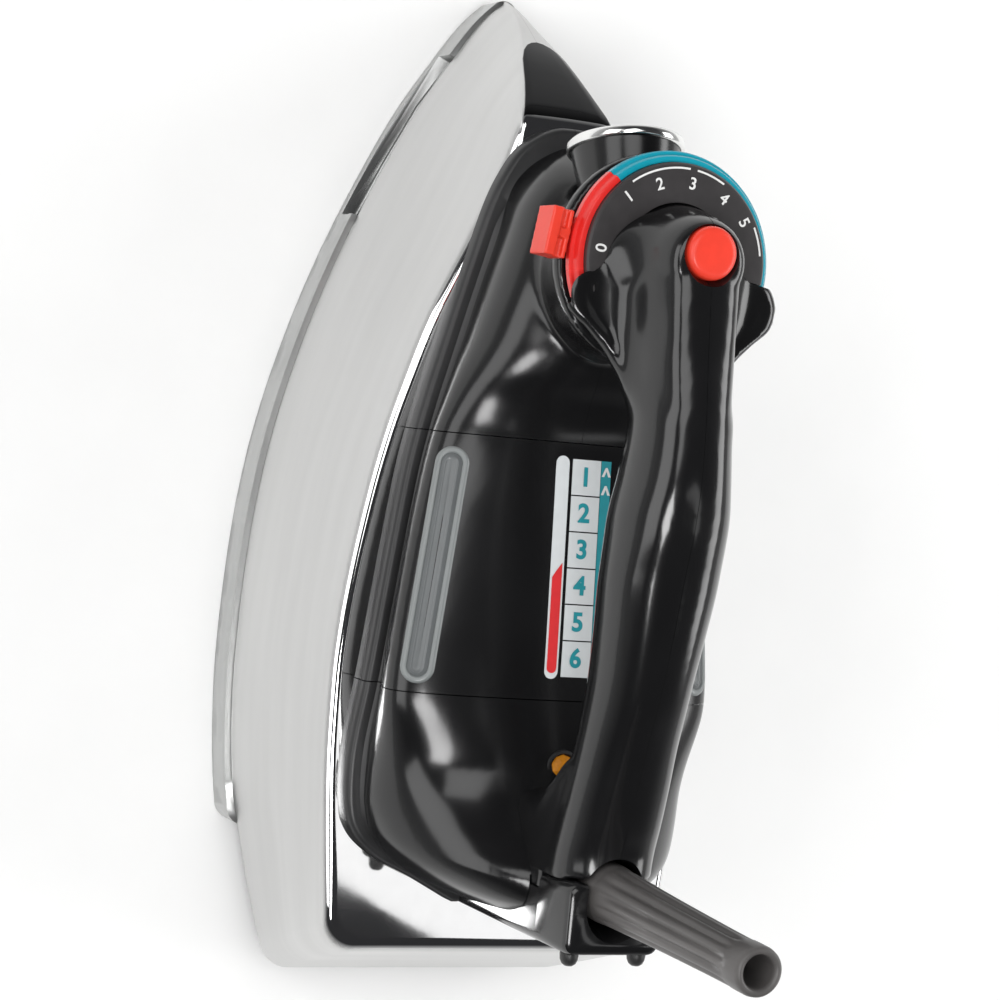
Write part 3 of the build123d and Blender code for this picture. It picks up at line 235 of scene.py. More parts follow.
def tube(name, r, p0, p1, n=32):
    a = Vector(p0); b = Vector(p1)
    z = (b - a).normalized()
    x = z.orthogonal().normalized()
    L = (b - a).length
    y = z.cross(x)
    rings = [[tuple(a + z * h + (x * cos(2*pi*i/n) + y * sin(2*pi*i/n)) * r) for i in range(n)] for h in (0, L)]
    return loft(name, rings)


# ---------------------------------------------------------------- materials
def material(name, base, rough=0.4, metal=0.0, var=0.08, grain=300.0, bump=0.05, bump_scale=900.0, rvar=0.08, wear=0.0, wear_col=(0.5, 0.5, 0.5),
             coat=0.0, coat_rough=0.05, spec=0.5, ior=1.5, transmission=0.0, stretch=None, bump_dist=0.00003, large=12.0, lvar=0.05):
    m = bpy.data.materials.new(name)
    m.use_nodes = True
    nt = m.node_tree
    b = nt.nodes["Principled BSDF"]
    L = nt.links.new
    tc = nt.nodes.new("ShaderNodeTexCoord")
    mp = nt.nodes.new("ShaderNodeMapping")
    L(tc.outputs["Object"], mp.inputs["Vector"])
    if stretch:
        mp.inputs["Scale"].default_value = stretch
    n1 = nt.nodes.new("ShaderNodeTexNoise"); n1.inputs["Scale"].default_value = grain; n1.inputs["Detail"].default_value = 4
    n2 = nt.nodes.new("ShaderNodeTexNoise"); n2.inputs["Scale"].default_value = large; n2.inputs["Detail"].default_value = 3
    n3 = nt.nodes.new("ShaderNodeTexNoise"); n3.inputs["Scale"].default_value = bump_scale; n3.inputs["Detail"].default_value = 3
    L(mp.outputs[0], n1.inputs["Vector"]); L(tc.outputs["Object"], n2.inputs["Vector"]); L(mp.outputs[0], n3.inputs["Vector"])
    cr = nt.nodes.new("ShaderNodeValToRGB")
    lo = [max(c * (1 - var), 0) for c in base]; hi = [min(c * (1 + var), 1) for c in base]
    cr.color_ramp.elements[0].position = 0.3; cr.color_ramp.elements[0].color = (*lo, 1)
    cr.color_ramp.elements[1].position = 0.7; cr.color_ramp.elements[1].color = (*hi, 1)
    L(n1.outputs["Fac"], cr.inputs["Fac"])
    mx = nt.nodes.new("ShaderNodeMix"); mx.data_type = "RGBA"; mx.blend_type = "MULTIPLY"; mx.inputs[0].default_value = 1.0
    cr2 = nt.nodes.new("ShaderNodeValToRGB")
    cr2.color_ramp.elements[0].position = 0.3; cr2.color_ramp.elements[0].color = (1 - lvar, 1 - lvar, 1 - lvar, 1)
    cr2.color_ramp.elements[1].position = 0.7; cr2.color_ramp.elements[1].color = (1, 1, 1, 1)
    L(n2.outputs["Fac"], cr2.inputs["Fac"])
    L(cr.outputs["Color"], mx.inputs[6]); L(cr2.outputs["Color"], mx.inputs[7])
    col = mx.outputs[2]
    if wear > 0:
        geo = nt.nodes.new("ShaderNodeNewGeometry")
        wr = nt.nodes.new("ShaderNodeMapRange")
        wr.inputs["From Min"].default_value = 0.52; wr.inputs["From Max"].default_value = 0.66
        wr.inputs["To Min"].default_value = 0.0; wr.inputs["To Max"].default_value = wear
        L(geo.outputs["Pointiness"], wr.inputs["Value"])
        wm = nt.nodes.new("ShaderNodeMath"); wm.operation = "MULTIPLY"
        L(wr.outputs[0], wm.inputs[0]); L(n2.outputs["Fac"], wm.inputs[1])
        mw = nt.nodes.new("ShaderNodeMix"); mw.data_type = "RGBA"
        L(wm.outputs[0], mw.inputs[0]); L(col, mw.inputs[6]); mw.inputs[7].default_value = (*wear_col, 1)
        col = mw.outputs[2]
    L(col, b.inputs["Base Color"])
    rr = nt.nodes.new("ShaderNodeMapRange")
    rr.inputs["To Min"].default_value = max(rough - rvar, 0.0); rr.inputs["To Max"].default_value = min(rough + rvar, 1.0)
    rr.inputs["From Min"].default_value = 0.3; rr.inputs["From Max"].default_value = 0.7
    L(n2.outputs["Fac"], rr.inputs["Value"]); L(rr.outputs[0], b.inputs["Roughness"])
    bp = nt.nodes.new("ShaderNodeBump"); bp.inputs["Strength"].default_value = bump; bp.inputs["Distance"].default_value = bump_dist
    L(n3.outputs["Fac"], bp.inputs["Height"]); L(bp.outputs[0], b.inputs["Normal"])
    b.inputs["Metallic"].default_value = metal
    b.inputs["IOR"].default_value = ior
    b.inputs["Specular IOR Level"].default_value = spec
    b.inputs["Coat Weight"].default_value = coat
    b.inputs["Coat Roughness"].default_value = coat_rough
    b.inputs["Transmission Weight"].default_value = transmission
    return m


M = {}
M["wall"] = material("shell_wall", (0.64, 0.64, 0.635), rough=0.36, metal=1.0, var=0.03, grain=60, bump=0.08, bump_scale=400, rvar=0.04, stretch=(0.25, 0.25, 3.0), lvar=0.03, wear=0.1, wear_col=(0.9, 0.9, 0.9))
def nose_facet_painted_reflection(m):
    """The nose facet of the shell is polished, with its colour painted near-black as a painted dark reflection, with a
    rounded tip low down; the side walls stay satin.
    """
    nt = m.node_tree
    L = nt.links.new
    b = nt.nodes["Principled BSDF"]
    tc = nt.nodes.new("ShaderNodeTexCoord"); sx = nt.nodes.new("ShaderNodeSeparateXYZ")
    L(tc.outputs["Object"], sx.inputs[0])
    ay = nt.nodes.new("ShaderNodeMath"); ay.operation = "ABSOLUTE"; L(sx.outputs["Y"], ay.inputs[0])
    mr = nt.nodes.new("ShaderNodeMapRange"); mr.inputs["From Min"].default_value = 0.032; mr.inputs["From Max"].default_value = 0.056
    L(sx.outputs["Z"], mr.inputs["Value"])
    cr = nt.nodes.new("ShaderNodeValToRGB")
    rows = [(32.0, 0.0), (32.4, 1.6), (33.4, 3.2), (35.5, 5.0), (38.5, 6.5), (42.0, 7.6), (46.0, 8.8), (50.0, 10.2), (54.0, 11.8), (56.0, 12.8)]
    el = cr.color_ramp.elements
    el[0].position = 0.0; el[0].color = (0, 0, 0, 1)
    el[1].position = 1.0; el[1].color = (12.8 / 13, 12.8 / 13, 12.8 / 13, 1)
    for z, w in rows[1:-1]:
        e = el.new((z - 32.0) / 24.0); e.color = (w / 13, w / 13, w / 13, 1)
    L(mr.outputs[0], cr.inputs["Fac"])
    mu = nt.nodes.new("ShaderNodeMath"); mu.operation = "MULTIPLY"; mu.inputs[1].default_value = 0.013
    L(cr.outputs["Color"], mu.inputs[0])
    su = nt.nodes.new("ShaderNodeMath"); su.operation = "SUBTRACT"; L(mu.outputs[0], su.inputs[0]); L(ay.outputs[0], su.inputs[1])
    mk = nt.nodes.new("ShaderNodeMapRange"); mk.inputs["From Min"].default_value = -0.0001; mk.inputs["From Max"].default_value = 0.0002
    L(su.outputs[0], mk.inputs["Value"])
    fx = nt.nodes.new("ShaderNodeMath"); fx.operation = "GREATER_THAN"; fx.inputs[1].default_value = 0.06
    L(sx.outputs["X"], fx.inputs[0])
    k = nt.nodes.new("ShaderNodeMath"); k.operation = "MULTIPLY"; L(mk.outputs[0], k.inputs[0]); L(fx.outputs[0], k.inputs[1])
    # the near-black base colour masked onto the facet is a painted dark reflection; the low roughness is the facet's
    # real polish
    for sock, val in (("Base Color", (0.02, 0.02, 0.021, 1)), ("Roughness", 0.05)):
        src = b.inputs[sock].links[0].from_socket
        if sock == "Base Color":
            mx = nt.nodes.new("ShaderNodeMix"); mx.data_type = "RGBA"
            L(k.outputs[0], mx.inputs[0]); L(src, mx.inputs[6]); mx.inputs[7].default_value = val
            L(mx.outputs[2], b.inputs[sock])
        else:
            mx = nt.nodes.new("ShaderNodeMix"); mx.data_type = "FLOAT"
            L(k.outputs[0], mx.inputs[0]); L(src, mx.inputs[2]); mx.inputs[3].default_value = val
            L(mx.outputs[0], b.inputs[sock])


nose_facet_painted_reflection(M["wall"])
M["deck"] = material("shell_deck", (0.86, 0.86, 0.86), rough=0.05, metal=1.0, var=0.02, grain=200, bump=0.06, bump_scale=90, rvar=0.03, bump_dist=0.00006, lvar=0.04)
M["sole"] = material("sole_aluminium", (0.5, 0.505, 0.5), rough=0.3, metal=1.0, var=0.05, grain=120, bump=0.25, bump_scale=700, rvar=0.06, stretch=(0.06, 3.0, 1.0), lvar=0.08, wear=0.15, wear_col=(0.9, 0.9, 0.88))
M["body"] = material("body_gloss_black", (0.0065, 0.0065, 0.007), rough=0.2, var=0.2, grain=40, bump=0.05, bump_scale=140, rvar=0.03, coat=0.2, coat_rough=0.17, lvar=0.2, wear=0.1, wear_col=(0.05, 0.05, 0.05), bump_dist=0.00004)
M["handle"] = material("handle_gloss_black", (0.0075, 0.0075, 0.008), rough=0.17, var=0.2, grain=40, bump=0.06, bump_scale=160, rvar=0.035, coat=0.3, coat_rough=0.1, lvar=0.2, wear=0.15, wear_col=(0.06, 0.06, 0.06), bump_dist=0.00004)
M["flange"] = material("flange_satin_black", (0.024, 0.024, 0.025), rough=0.38, var=0.15, grain=120, bump=0.12, bump_scale=900, rvar=0.05, lvar=0.1)
M["plate"] = material("dial_plate_grey", (0.035, 0.032, 0.033), rough=0.4, var=0.12, grain=260, bump=0.2, bump_scale=1200, rvar=0.05)
M["white"] = material("print_white", (0.75, 0.75, 0.74), rough=0.5, var=0.05, grain=500, bump=0.1)
M["teal"] = material("print_teal", (0.0, 0.28, 0.33), rough=0.45, var=0.06, grain=500, bump=0.1)
M["cell"] = material("print_light_grey", (0.66, 0.69, 0.70), rough=0.4, var=0.03, grain=300, bump=0.1)
M["printred"] = material("print_red", (0.68, 0.02, 0.025), rough=0.4, var=0.05, grain=400, bump=0.1)
M["red"] = material("ring_red", (0.74, 0.022, 0.018), rough=0.28, var=0.06, grain=200, bump=0.1, bump_scale=900, coat=0.2)
M["blue"] = material("ring_blue", (0.0, 0.30, 0.40), rough=0.28, var=0.06, grain=200, bump=0.1, bump_scale=900, coat=0.2)
M["coral"] = material("coral_plastic", (0.80, 0.045, 0.022), rough=0.32, var=0.06, grain=180, bump=0.25, bump_scale=900, rvar=0.05, wear=0.15, wear_col=(0.9, 0.25, 0.18))
M["rim"] = material("cup_rim_chrome", (0.86, 0.86, 0.85), rough=0.14, metal=1.0, var=0.03, grain=200, bump=0.08, rvar=0.04)
M["rubber"] = material("guard_rubber", (0.085, 0.08, 0.078), rough=0.42, var=0.3, grain=160, bump=0.4, bump_scale=1500, rvar=0.07, wear=0.4, wear_col=(0.14, 0.135, 0.13), stretch=(1.0, 1.0, 0.12))
M["foot"] = material("foot_rubber", (0.02, 0.02, 0.02), rough=0.4, var=0.15, grain=200, bump=0.3)
M["window"] = material("window_smoke", (0.135, 0.145, 0.148), rough=0.32, var=0.08, grain=80, bump=0.15, bump_scale=300, coat=0.15, lvar=0.12)
M["window_rim"] = material("window_rim", (0.21, 0.225, 0.225), rough=0.34, var=0.05, grain=80, bump=0.12, bump_scale=400, coat=0.2)
M["lens"] = material("lens_amber", (0.85, 0.30, 0.02), rough=0.14, var=0.25, grain=500, bump=0.2, transmission=0.25, ior=1.49)
M["steel"] = material("steel", (0.55, 0.55, 0.54), rough=0.32, metal=1.0, var=0.08, grain=200, bump=0.2, bump_scale=900)
M["dark_steel"] = material("dark_steel", (0.26, 0.26, 0.27), rough=0.4, metal=1.0, var=0.1, grain=120, bump=0.25, bump_scale=700)
M["element"] = material("element_sheath", (0.3, 0.28, 0.26), rough=0.45, metal=1.0, var=0.15, grain=140, bump=0.3)
M["brass"] = material("brass", (0.72, 0.5, 0.2), rough=0.3, metal=1.0, var=0.08, grain=160, bump=0.2)
M["tank"] = material("tank_plastic", (0.7, 0.75, 0.78), rough=0.25, var=0.05, grain=60, bump=0.1, transmission=0.6)
M["inner"] = material("inner_plastic", (0.05, 0.05, 0.05), rough=0.5, var=0.15, grain=200, bump=0.3)
M["lead"] = material("lead_braid", (0.5, 0.47, 0.4), rough=0.7, var=0.2, grain=900, bump=0.6, bump_scale=2500)
M["lamp"] = material("lamp_glass", (0.9, 0.55, 0.3), rough=0.08, var=0.05, grain=80, bump=0.05, transmission=0.8)

node_mat = {"soleplate": "sole", "heating_element": "element", "steam_chamber_cover": "steel", "valve_seat": "brass", "thermostat_base": "steel", "bimetal_blade": "brass",
            "thermostat_shaft": "steel", "shell_rear_cover": "dark_steel", "shell_studs": "steel", "stud_nuts": "steel", "water_tank": "tank", "fill_duct": "tank",
            "guard_pins": "steel", "cord_clamp": "inner", "terminal_block": "inner", "element_leads": "lead", "handle_screws": "steel", "thermal_fuse": "element",
            "indicator_lamp": "lamp", "dial_base": "handle", "valve_rod": "brass", "button_spring": "steel", "chrome_shell": "deck", "front_cover_left": "body",
            "front_cover_right": "body", "saddle_cover": "body", "rear_cover": "body", "water_window_left": "window", "water_window_right": "window", "fabric_guide": "cell",
            "fill_cup": "body", "cup_rim": "rim", "handle_left": "handle", "handle_right": "handle", "heel_block": "handle", "heel_feet": "foot", "cord_guard": "rubber",
            "indicator_lens": "lens", "dial_plate": "plate", "dial_ring": "blue", "temperature_lever": "coral", "steam_button": "coral"}
for n, o in N.items():
    m = M[node_mat[n]]
    for s in o.material_slots:
        s.material = m
    if not o.material_slots:
        o.data.materials.append(m)


def finish_piece(ob, mats, body, *nodes, slot=None):
    ob.data.materials.clear()
    for m in (mats if isinstance(mats, (list, tuple)) else [mats]):
        ob.data.materials.append(M[m])
    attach(ob, body)
    if nodes:
        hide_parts(*nodes)
    return ob


# ---------------------------------------------------------------- tables (mm)
LOW = [(127.6, 0.0), (126.0, 2.4), (121.1, 6.9), (111.2, 13.5), (99.7, 20.8), (83.0, 29.4), (66.4, 36.8), (50.1, 43.1), (28.7, 49.8), (7.5, 54.7),
       (-13.4, 57.5), (-34.3, 58.7), (-49.9, 58.9), (-60.3, 58.5), (-81.1, 56.4), (-95.3, 52.9), (-105.7, 50.2), (-116.0, 47.0), (-128.0, 43.0)]
SHOULDER = [(120.0, -9.3), (116.0, -3.1), (112.0, 1.1), (108.0, 4.2), (104.0, 6.9), (100.0, 9.6), (96.0, 12.0), (85.0, 15.6), (77.0, 18.4), (70.1, 21.2), (62.5, 24.4),
            (51.0, 29.6), (43.5, 32.9), (35.5, 35.7), (28.7, 37.8), (18.3, 40.9), (12.0, 42.5), (2.8, 44.5), (-8.6, 46.5), (-21.0, 48.3), (-33.2, 49.6), (-45.2, 50.2),
            (-62.8, 49.9), (-80.0, 48.7), (-92.8, 47.5), (-110.4, 45.8), (-128.0, 44.0)]
NOSE = [(56.0, 94.2, 12.8), (54.0, 96.0, 12.1), (50.0, 100.0, 10.5), (45.8, 104.0, 9.0), (41.4, 108.0, 7.5), (36.6, 112.0, 5.9), (31.0, 116.0, 4.1), (25.3, 120.0, 2.5),
        (18.0, 124.4, 1.3), (10.0, 127.8, 0.7)]
FLANGE = [(92.0, 0.0), (91.6, 4.5), (89.2, 9.7), (84.9, 14.7), (78.2, 18.6), (72.0, 21.1), (64.8, 23.2), (57.7, 25.0), (46.1, 28.0), (36.1, 30.5), (23.6, 33.6), (14.1, 35.6),
          (5.3, 37.1), (-7.2, 38.6), (-26.0, 40.6), (-45.4, 42.6), (-61.8, 44.8), (-72.0, 45.0), (-78.8, 44.2), (-83.0, 42.7), (-87.0, 39.6), (-91.0, 33.9), (-94.8, 25.6), (-100.8, 14.0)]
BODY = [(87.0, 3.0, 2.0, 61.6, 63.0), (84.6, 7.6, 6.2, 63.2, 66.8), (81.0, 12.2, 10.8, 65.6, 72.0), (76.0, 15.8, 15.0, 68.0, 77.4), (71.0, 17.2, 17.8, 69.4, 81.4), (66.0, 18.2, 19.4, 70.0, 84.0), (48.0, 22.8, 24.6, 70.5, 87.0), (38.0, 25.2, 27.4, 70.5, 86.8), (31.0, 27.1, 29.8, 70.0, 85.2), (23.0, 29.0, 32.2, 69.6, 81.2),
        (15.0, 31.0, 34.6, 69.5, 79.2), (-2.0, 33.6, 38.0, 70.6, 80.4), (-20.0, 35.6, 40.6, 71.8, 81.8), (-36.0, 37.4, 42.4, 73.0, 83.0), (-47.0, 38.4, 43.0, 73.4, 83.6),
        (-62.0, 40.4, 42.8, 71.6, 85.0), (-68.0, 40.5, 42.6, 71.0, 87.0), (-74.0, 40.4, 42.2, 70.4, 90.6), (-82.0, 38.6, 40.4, 69.6, 96.4), (-88.0, 34.6, 36.6, 69.0, 100.4),
        (-93.0, 27.2, 29.0, 68.6, 100.6), (-97.5, 17.4, 16.4, 67.0, 96.0)]
NECK = [(57.0, 84.0, 32.6, 19.6), (60.0, 82.4, 33.1, 18.9), (64.0, 79.0, 33.4, 18.4), (72.0, 76.0, 34.0, 17.8), (82.0, 74.6, 34.8, 17.4), (92.0, 75.4, 35.2, 18.4),
        (99.0, 77.8, 35.2, 20.4), (102.6, 79.8, 35.0, 22.0), (104.0, 82.4, 34.4, 24.2), (105.2, 83.9, 33.6, 25.4), (109.0, 84.0, 33.4, 25.5)]
DIAL_X, BUTTON_X, VALVE_X = 58.5, 60.5, 46.5


# ---------------------------------------------------------------- chrome shell
def shell_ring(z, inset):
    t = (z - 10.2) / 43.8
    nz = list(reversed([(a, b, c) for a, b, c in NOSE]))
    def nose(c):
        rows = [(-r[0],) + r[1:] for r in nz]
        return table_at(-z, rows, c)
    xf = nose(1) - inset * 1.1
    yf = max(0.6, nose(2) - inset * 0.45)
    xr = -128.0 + 13.6 * t + inset
    half = [(xf + 0.25, 0.0), (xf + 0.2, yf * 0.4), (xf + 0.1, yf * 0.75), (xf - 0.15, yf * 0.95), (xf - 0.8, yf + 0.28)]
    x0, x1 = xf - 2.2, xr + 7.0
    cnt = 64
    for i in range(cnt):
        x = x0 + (x1 - x0) * (i / (cnt - 1)) ** 1.25
        y = (1 - t) * table_at(x, LOW) + t * table_at(x, SHOULDER) - inset
        half.append((x, max(y, yf + 0.55 + 0.05 * (x0 - x))))
    xc, yc = half[-1]
    for k in range(1, 9):
        a = k / 8 * pi / 2
        half.append((xr + 7.0 - 7.0 * sin(a), yc - 1.6 - 6.6 * (1 - cos(a)) + 1.6 * (1 - sin(a))))
    ye = half[-1][1]
    for k in range(1, 6):
        half.append((xr, ye * (1 - k / 5)))
    right = [(x, -y) for x, y in reversed(half[1:-1])]
    return [(x, y, z) for x, y in half + right]


levels = [(10.2, 1.2), (10.2, 0.35), (10.5, 0.05), (11.2, 0.0)] + [(12.0 + 40.0 * i / 14, 0.0) for i in range(15)]
levels += [(53.2, 0.03), (54.1, 0.22), (54.9, 0.62), (55.45, 1.2), (55.75, 1.9), (55.8, 2.6), (55.8, 3.4)]
rings = [shell_ring(z, i) for z, i in levels]
shell = loft("chrome_shell_skin", rings, cap0=False, cap1=True)
sm = shell.modifiers.new("t", "SOLIDIFY"); sm.thickness = 1.1 * MM; sm.offset = -1.0
mods_applied(shell)
finish_piece(shell, ["wall", "deck"], "iron", "chrome_shell")
for p in shell.data.polygons:
    p.material_index = 1 if (p.center.z > 55.1 * MM) else 0
sharp(shell, 50)


# ---------------------------------------------------------------- black body
def body_half(x, inset=0.0):
    wb, ws, zs, zt = [table_at(x, BODY, c) for c in (1, 2, 3, 4)]
    pts = catmull([(wb - 0.6, 56.6), (wb, 60.0), (wb + (ws - wb) * 0.72, 60.0 + (zs - 60.0) * 0.5), (ws, zs)], 5)[:-1]
    n = 2.0 / (2.35 - 0.3 * min(max((-46.0 - x) / 26.0, 0.0), 1.0))
    for k in range(25):
        a = radians(90 * k / 24)
        c = max(cos(a), 0.0) ** n if k < 24 else 0.0
        pts.append((ws * c, zs + (zt - zs) * max(sin(a), 0.0) ** n))
    # behind the rear seam the shoulder ridge fades into one smooth dome
    t = min(max((-47.5 - x) / 34.0, 0.0), 1.0)
    t = 0.85 * t * t * (3 - 2 * t)
    if t > 0:
        m = len(pts)
        n = 2.0 / 2.1
        for k in range(5, m):
            a = radians(90.0 * (k - 5) / (m - 6))
            c = max(cos(a), 0.0) ** n if k < m - 1 else 0.0
            y, z = (wb + ws) * 0.5 * c, 61.5 + (zt - 61.5) * max(sin(a), 0.0) ** n
            pts[k] = (pts[k][0] * (1 - t) + y * t, pts[k][1] * (1 - t) + z * t)
    return pts


def x_ring(x, half):
    full = half + [(-y, z) for y, z in reversed(half[:-1])]
    return [(x, y, z) for y, z in full]


xs = [87.0 - (87.0 + 97.5) * i / 110 for i in range(111)]
bl = loft("bl", [x_ring(x, body_half(x)) for x in xs])
neck_rings = []
for i in range(40):
    z = 57.0 + (109.0 - 57.0) * i / 39
    rows = [(-r[0],) + r[1:] for r in NECK]
    xf, xr, w = [table_at(-z, rows, c) for c in (1, 2, 3)]
    cx, a = (xf + xr) / 2, (xf - xr) / 2
    neck_rings.append([(cx + a * cos(2*pi*k/72), w * sin(2*pi*k/72), z) for k in range(72)])
nl = loft("nl", neck_rings)
body = joined("body_mass", [bl, nl])
remesh(body, 0.85, 16)
cup_dir = (-cos(radians(15)), 0, sin(radians(15)))
cup_up = (sin(radians(15)), 0, cos(radians(15)))
boolean(body, [lathe("c", [(0, -6), (11.7, -6), (11.7, 1.6), (10.7, 5.0), (9.7, 8.4), (8.2, 10.0), (2.6, 11.0), (2.6, 16.9), (0, 16.9)], (87.0, 0, 87.5), cup_dir, cup_up, 64),
               tube("c", 5.2, (DIAL_X, 0, 50), (DIAL_X, 0, 115)), tube("c", 2.3, (VALVE_X, 0, 50), (VALVE_X, 0, 115)),
               prism("c", [(-86.5, -12.45), (-120, -12.45), (-120, 12.45), (-86.5, 12.45)], 50, 120)])
# foot flange: a ledge with a bright chamfered inner edge
fl = catmull(FLANGE, 6)
dense = [(x, max(y, 0.0)) for x, y in fl]
dense = dense[:-1] + [dense[-1]]
outline = dense + [(-100.8, 7.0), (-100.8, 0.0)] + [(-100.8, -7.0)] + [(x, -y) for x, y in reversed(dense[1:])]


def inward(pts, dist):
    """Offset of a closed plan outline towards its inside."""
    n = len(pts)
    out = []
    for i in range(n):
        a = Vector(pts[i - 1]); b = Vector(pts[i]); c = Vector(pts[(i + 1) % n])
        d = ((b - a).normalized() + (c - b).normalized())
        d = d.normalized() if d.length > 1e-6 else Vector((1, 0))
        nrm = Vector((-d.y, d.x))
        dd = dist[i] if isinstance(dist, list) else dist
        out.append((b.x + nrm.x * dd, b.y + nrm.y * dd))
    return out


area = sum(outline[i - 1][0] * outline[i][1] - outline[i][0] * outline[i - 1][1] for i in range(len(outline)))
sgn = 1.0 if area > 0 else -1.0
wide = [(8.2 if p[0] > 84 else (4.0 + 4.2 * max(0.0, (p[0] - 66) / 18.0) ** 1.5 if p[0] > 66 else 4.0)) for p in outline]
prof = [(0.0, 0.0, 55.82), (0.0, 0.0, 58.6), (0.25, 0.0, 59.3), (0.8, 0.0, 59.85), (1.6, 0.0, 60.0), (0.0, 0.82, 60.0), (0.5, 1.0, 61.0), (2.2, 1.0, 61.2), (2.2, 1.0, 55.82)]
fr = []
for a, b, z in prof:
    o = inward(outline, [sgn * (a + b * w) for w in wide])
    fr.append([(x, y, z) for x, y in o])
flange = loft("flange", fr, cap0=False, cap1=False, join=True)
boolean(flange, [prism("c", [(-88.7, -12.45), (-120, -12.45), (-120, 12.45), (-88.7, 12.45)], 50, 120)])
g = 0.13
regions = {"front_cover_left": ([((15 + g, 0, 0), (1, 0, 0)), ((0, 0.06, 0), (0, 1, 0))]), "front_cover_right": ([((15 + g, 0, 0), (1, 0, 0)), ((0, -0.06, 0), (0, -1, 0))]),
           "saddle_cover": ([((15 - g, 0, 0), (-1, 0, 0)), ((-47 + g, 0, 0), (1, 0, 0))]), "rear_cover": ([((-47 - g, 0, 0), (-1, 0, 0))])}
bvh_body = None
bm = bmesh.new(); bm.from_mesh(body.data); bvh_body = BVHTree.FromBMesh(bm); bm.free()
body_parts = {}
for nme, planes in regions.items():
    a = cut(body, nme + "_skin", planes)
    finish_piece(a, "body", "iron", nme)
    b = cut(flange, nme + "_foot", planes)
    finish_piece(b, "flange", "iron")
    body_parts[nme] = a
drop(body); drop(flange)


def on_body(x, y, lift=0.0):
    hit = bvh_body.ray_cast(Vector((x, y, 130)) * MM, Vector((0, 0, -1)))
    return hit[0].z / MM + lift if hit[0] else 80.0


# ---------------------------------------------------------------- soleplate
sole_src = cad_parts["soleplate"]
sole_src = sole_src if hasattr(sole_src, "data") else bpy.data.objects["soleplate"]
sole = bpy.data.objects.new("soleplate_skin", sole_src.data.copy())
coll.objects.link(sole)
bms = bmesh.new(); bms.from_mesh(sole.data)
bmesh.ops.remove_doubles(bms, verts=bms.verts, dist=2e-7); bms.to_mesh(sole.data); bms.free()
sole.data.materials.clear()
cutters = []
for sd in (1, -1):
    poly = [(x, y * sd) for x, y in ((111.0, 11.4), (98.5, 19.6), (82.0, 28.0), (67.6, 34.6), (69.0, 42.5), (84.0, 36.0), (100.0, 28.0), (114.0, 19.4))]
    cutters.append(prism("c", poly, 3.0, 10.6))
boolean(sole, cutters)
bevel(sole, 0.3, 1, 50)
finish_piece(sole, "sole", "iron", "soleplate")
for p in sole.data.polygons:
    p.use_smooth = True
sharp(sole, 30)


# ---------------------------------------------------------------- water windows
def window(name, s, node):
    mid = Vector((-16.5, 34.8 * s, 77.05)); d = Vector((-53.0, 6.2 * s, 3.7)).normalized()
    n = Vector((0.1147, 0.447 * s, 0.894)); n = (n - d * n.dot(d)).normalized()
    v = n.cross(d)
    L, W = 57.0, 8.2
    def slot(r, k=64):
        pts = []
        hl = L / 2 - W / 2
        for i in range(k):
            a = 2 * pi * i / k
            cx = hl if cos(a) >= 0 else -hl
            pts.append((cx + r * cos(a), r * sin(a)))
        out = []
        for i in range(k):
            a = pts[i]; b = pts[(i + 1) % k]
            out.append(a)
            if abs(b[0] - a[0]) > 10:
                for j in range(1, 24):
                    out.append((a[0] + (b[0] - a[0]) * j / 24, a[1] + (b[1] - a[1]) * j / 24))
        return out
    def rise(r, h):
        ring = []
        for u, w in slot(r):
            p = mid + d * u + v * w
            hit = bvh_body.ray_cast((p + n * 12) * MM, -n)
            q = hit[0] / MM if hit[0] else p
            ring.append(tuple(q + n * h))
        return ring
    R0 = W / 2
    rim = loft(name + "_rim", [rise(R0 + 0.1, -0.9), rise(R0 + 0.1, -0.05), rise(R0 - 0.15, 0.35), rise(R0 - 0.5, 0.52), rise(R0 - 1.1, 0.5), rise(R0 - 1.4, 0.36), rise(R0 - 1.56, 0.15), rise(R0 - 1.56, -0.9)], cap0=False, cap1=False, join=True)
    finish_piece(rim, "window_rim", "iron")
    pane = loft(name + "_pane", [rise(R0 - 1.55, -0.6), rise(R0 - 1.55, 0.1), rise(R0 - 1.7, 0.2), rise(R0 - 2.3, 0.24), rise(R0 - 2.42, 0.38), rise(R0 - 2.62, 0.38), rise(R0 - 2.74, 0.24), rise(R0 - 3.3, 0.27), rise(R0 - 3.95, 0.3)], cap0=True, cap1=True)
    finish_piece(pane, "window", "iron", node)
    return slot


slot_fn = window("water_window_left", 1, "water_window_left")
window("water_window_right", -1, "water_window_right")


# ---------------------------------------------------------------- fabric guide
def sheet_patch(name, poly_rows, lift, thick, mat, *nodes):
    """Conforming plate over the saddle. poly_rows: list of (x, y0, y1)."""
    top, bot = [], []
    cols = 7
    for x, y0, y1 in poly_rows:
        top.append([(x, y0 + (y1 - y0) * k / (cols - 1)) for k in range(cols)])
    verts, faces = [], []
    rws = len(top)
    for r in top:
        for x, y in r:
            verts.append((x, y, on_body(x, y, lift)))
    for r in top:
        for x, y in r:
            verts.append((x, y, on_body(x, y, lift) - thick))
    o = rws * cols
    for i in range(rws - 1):
        for k in range(cols - 1):
            a = i * cols + k
            faces.append((a, a + 1, a + cols + 1, a + cols))
            faces.append((o + a, o + a + cols, o + a + cols + 1, o + a + 1))
    for i in range(rws - 1):
        a = i * cols; b = a + cols
        faces.append((a, b, o + b, o + a))
        a2 = a + cols - 1; b2 = b + cols - 1
        faces.append((a2, o + a2, o + b2, b2))
    for k in range(cols - 1):
        faces.append((k, o + k, o + k + 1, k + 1))
        a = (rws - 1) * cols + k
        faces.append((a, a + 1, o + a + 1, o + a))
    ob = make(name, verts, faces)
    sharp(ob, 40)
    finish_piece(ob, mat, "iron", *nodes)
    return ob


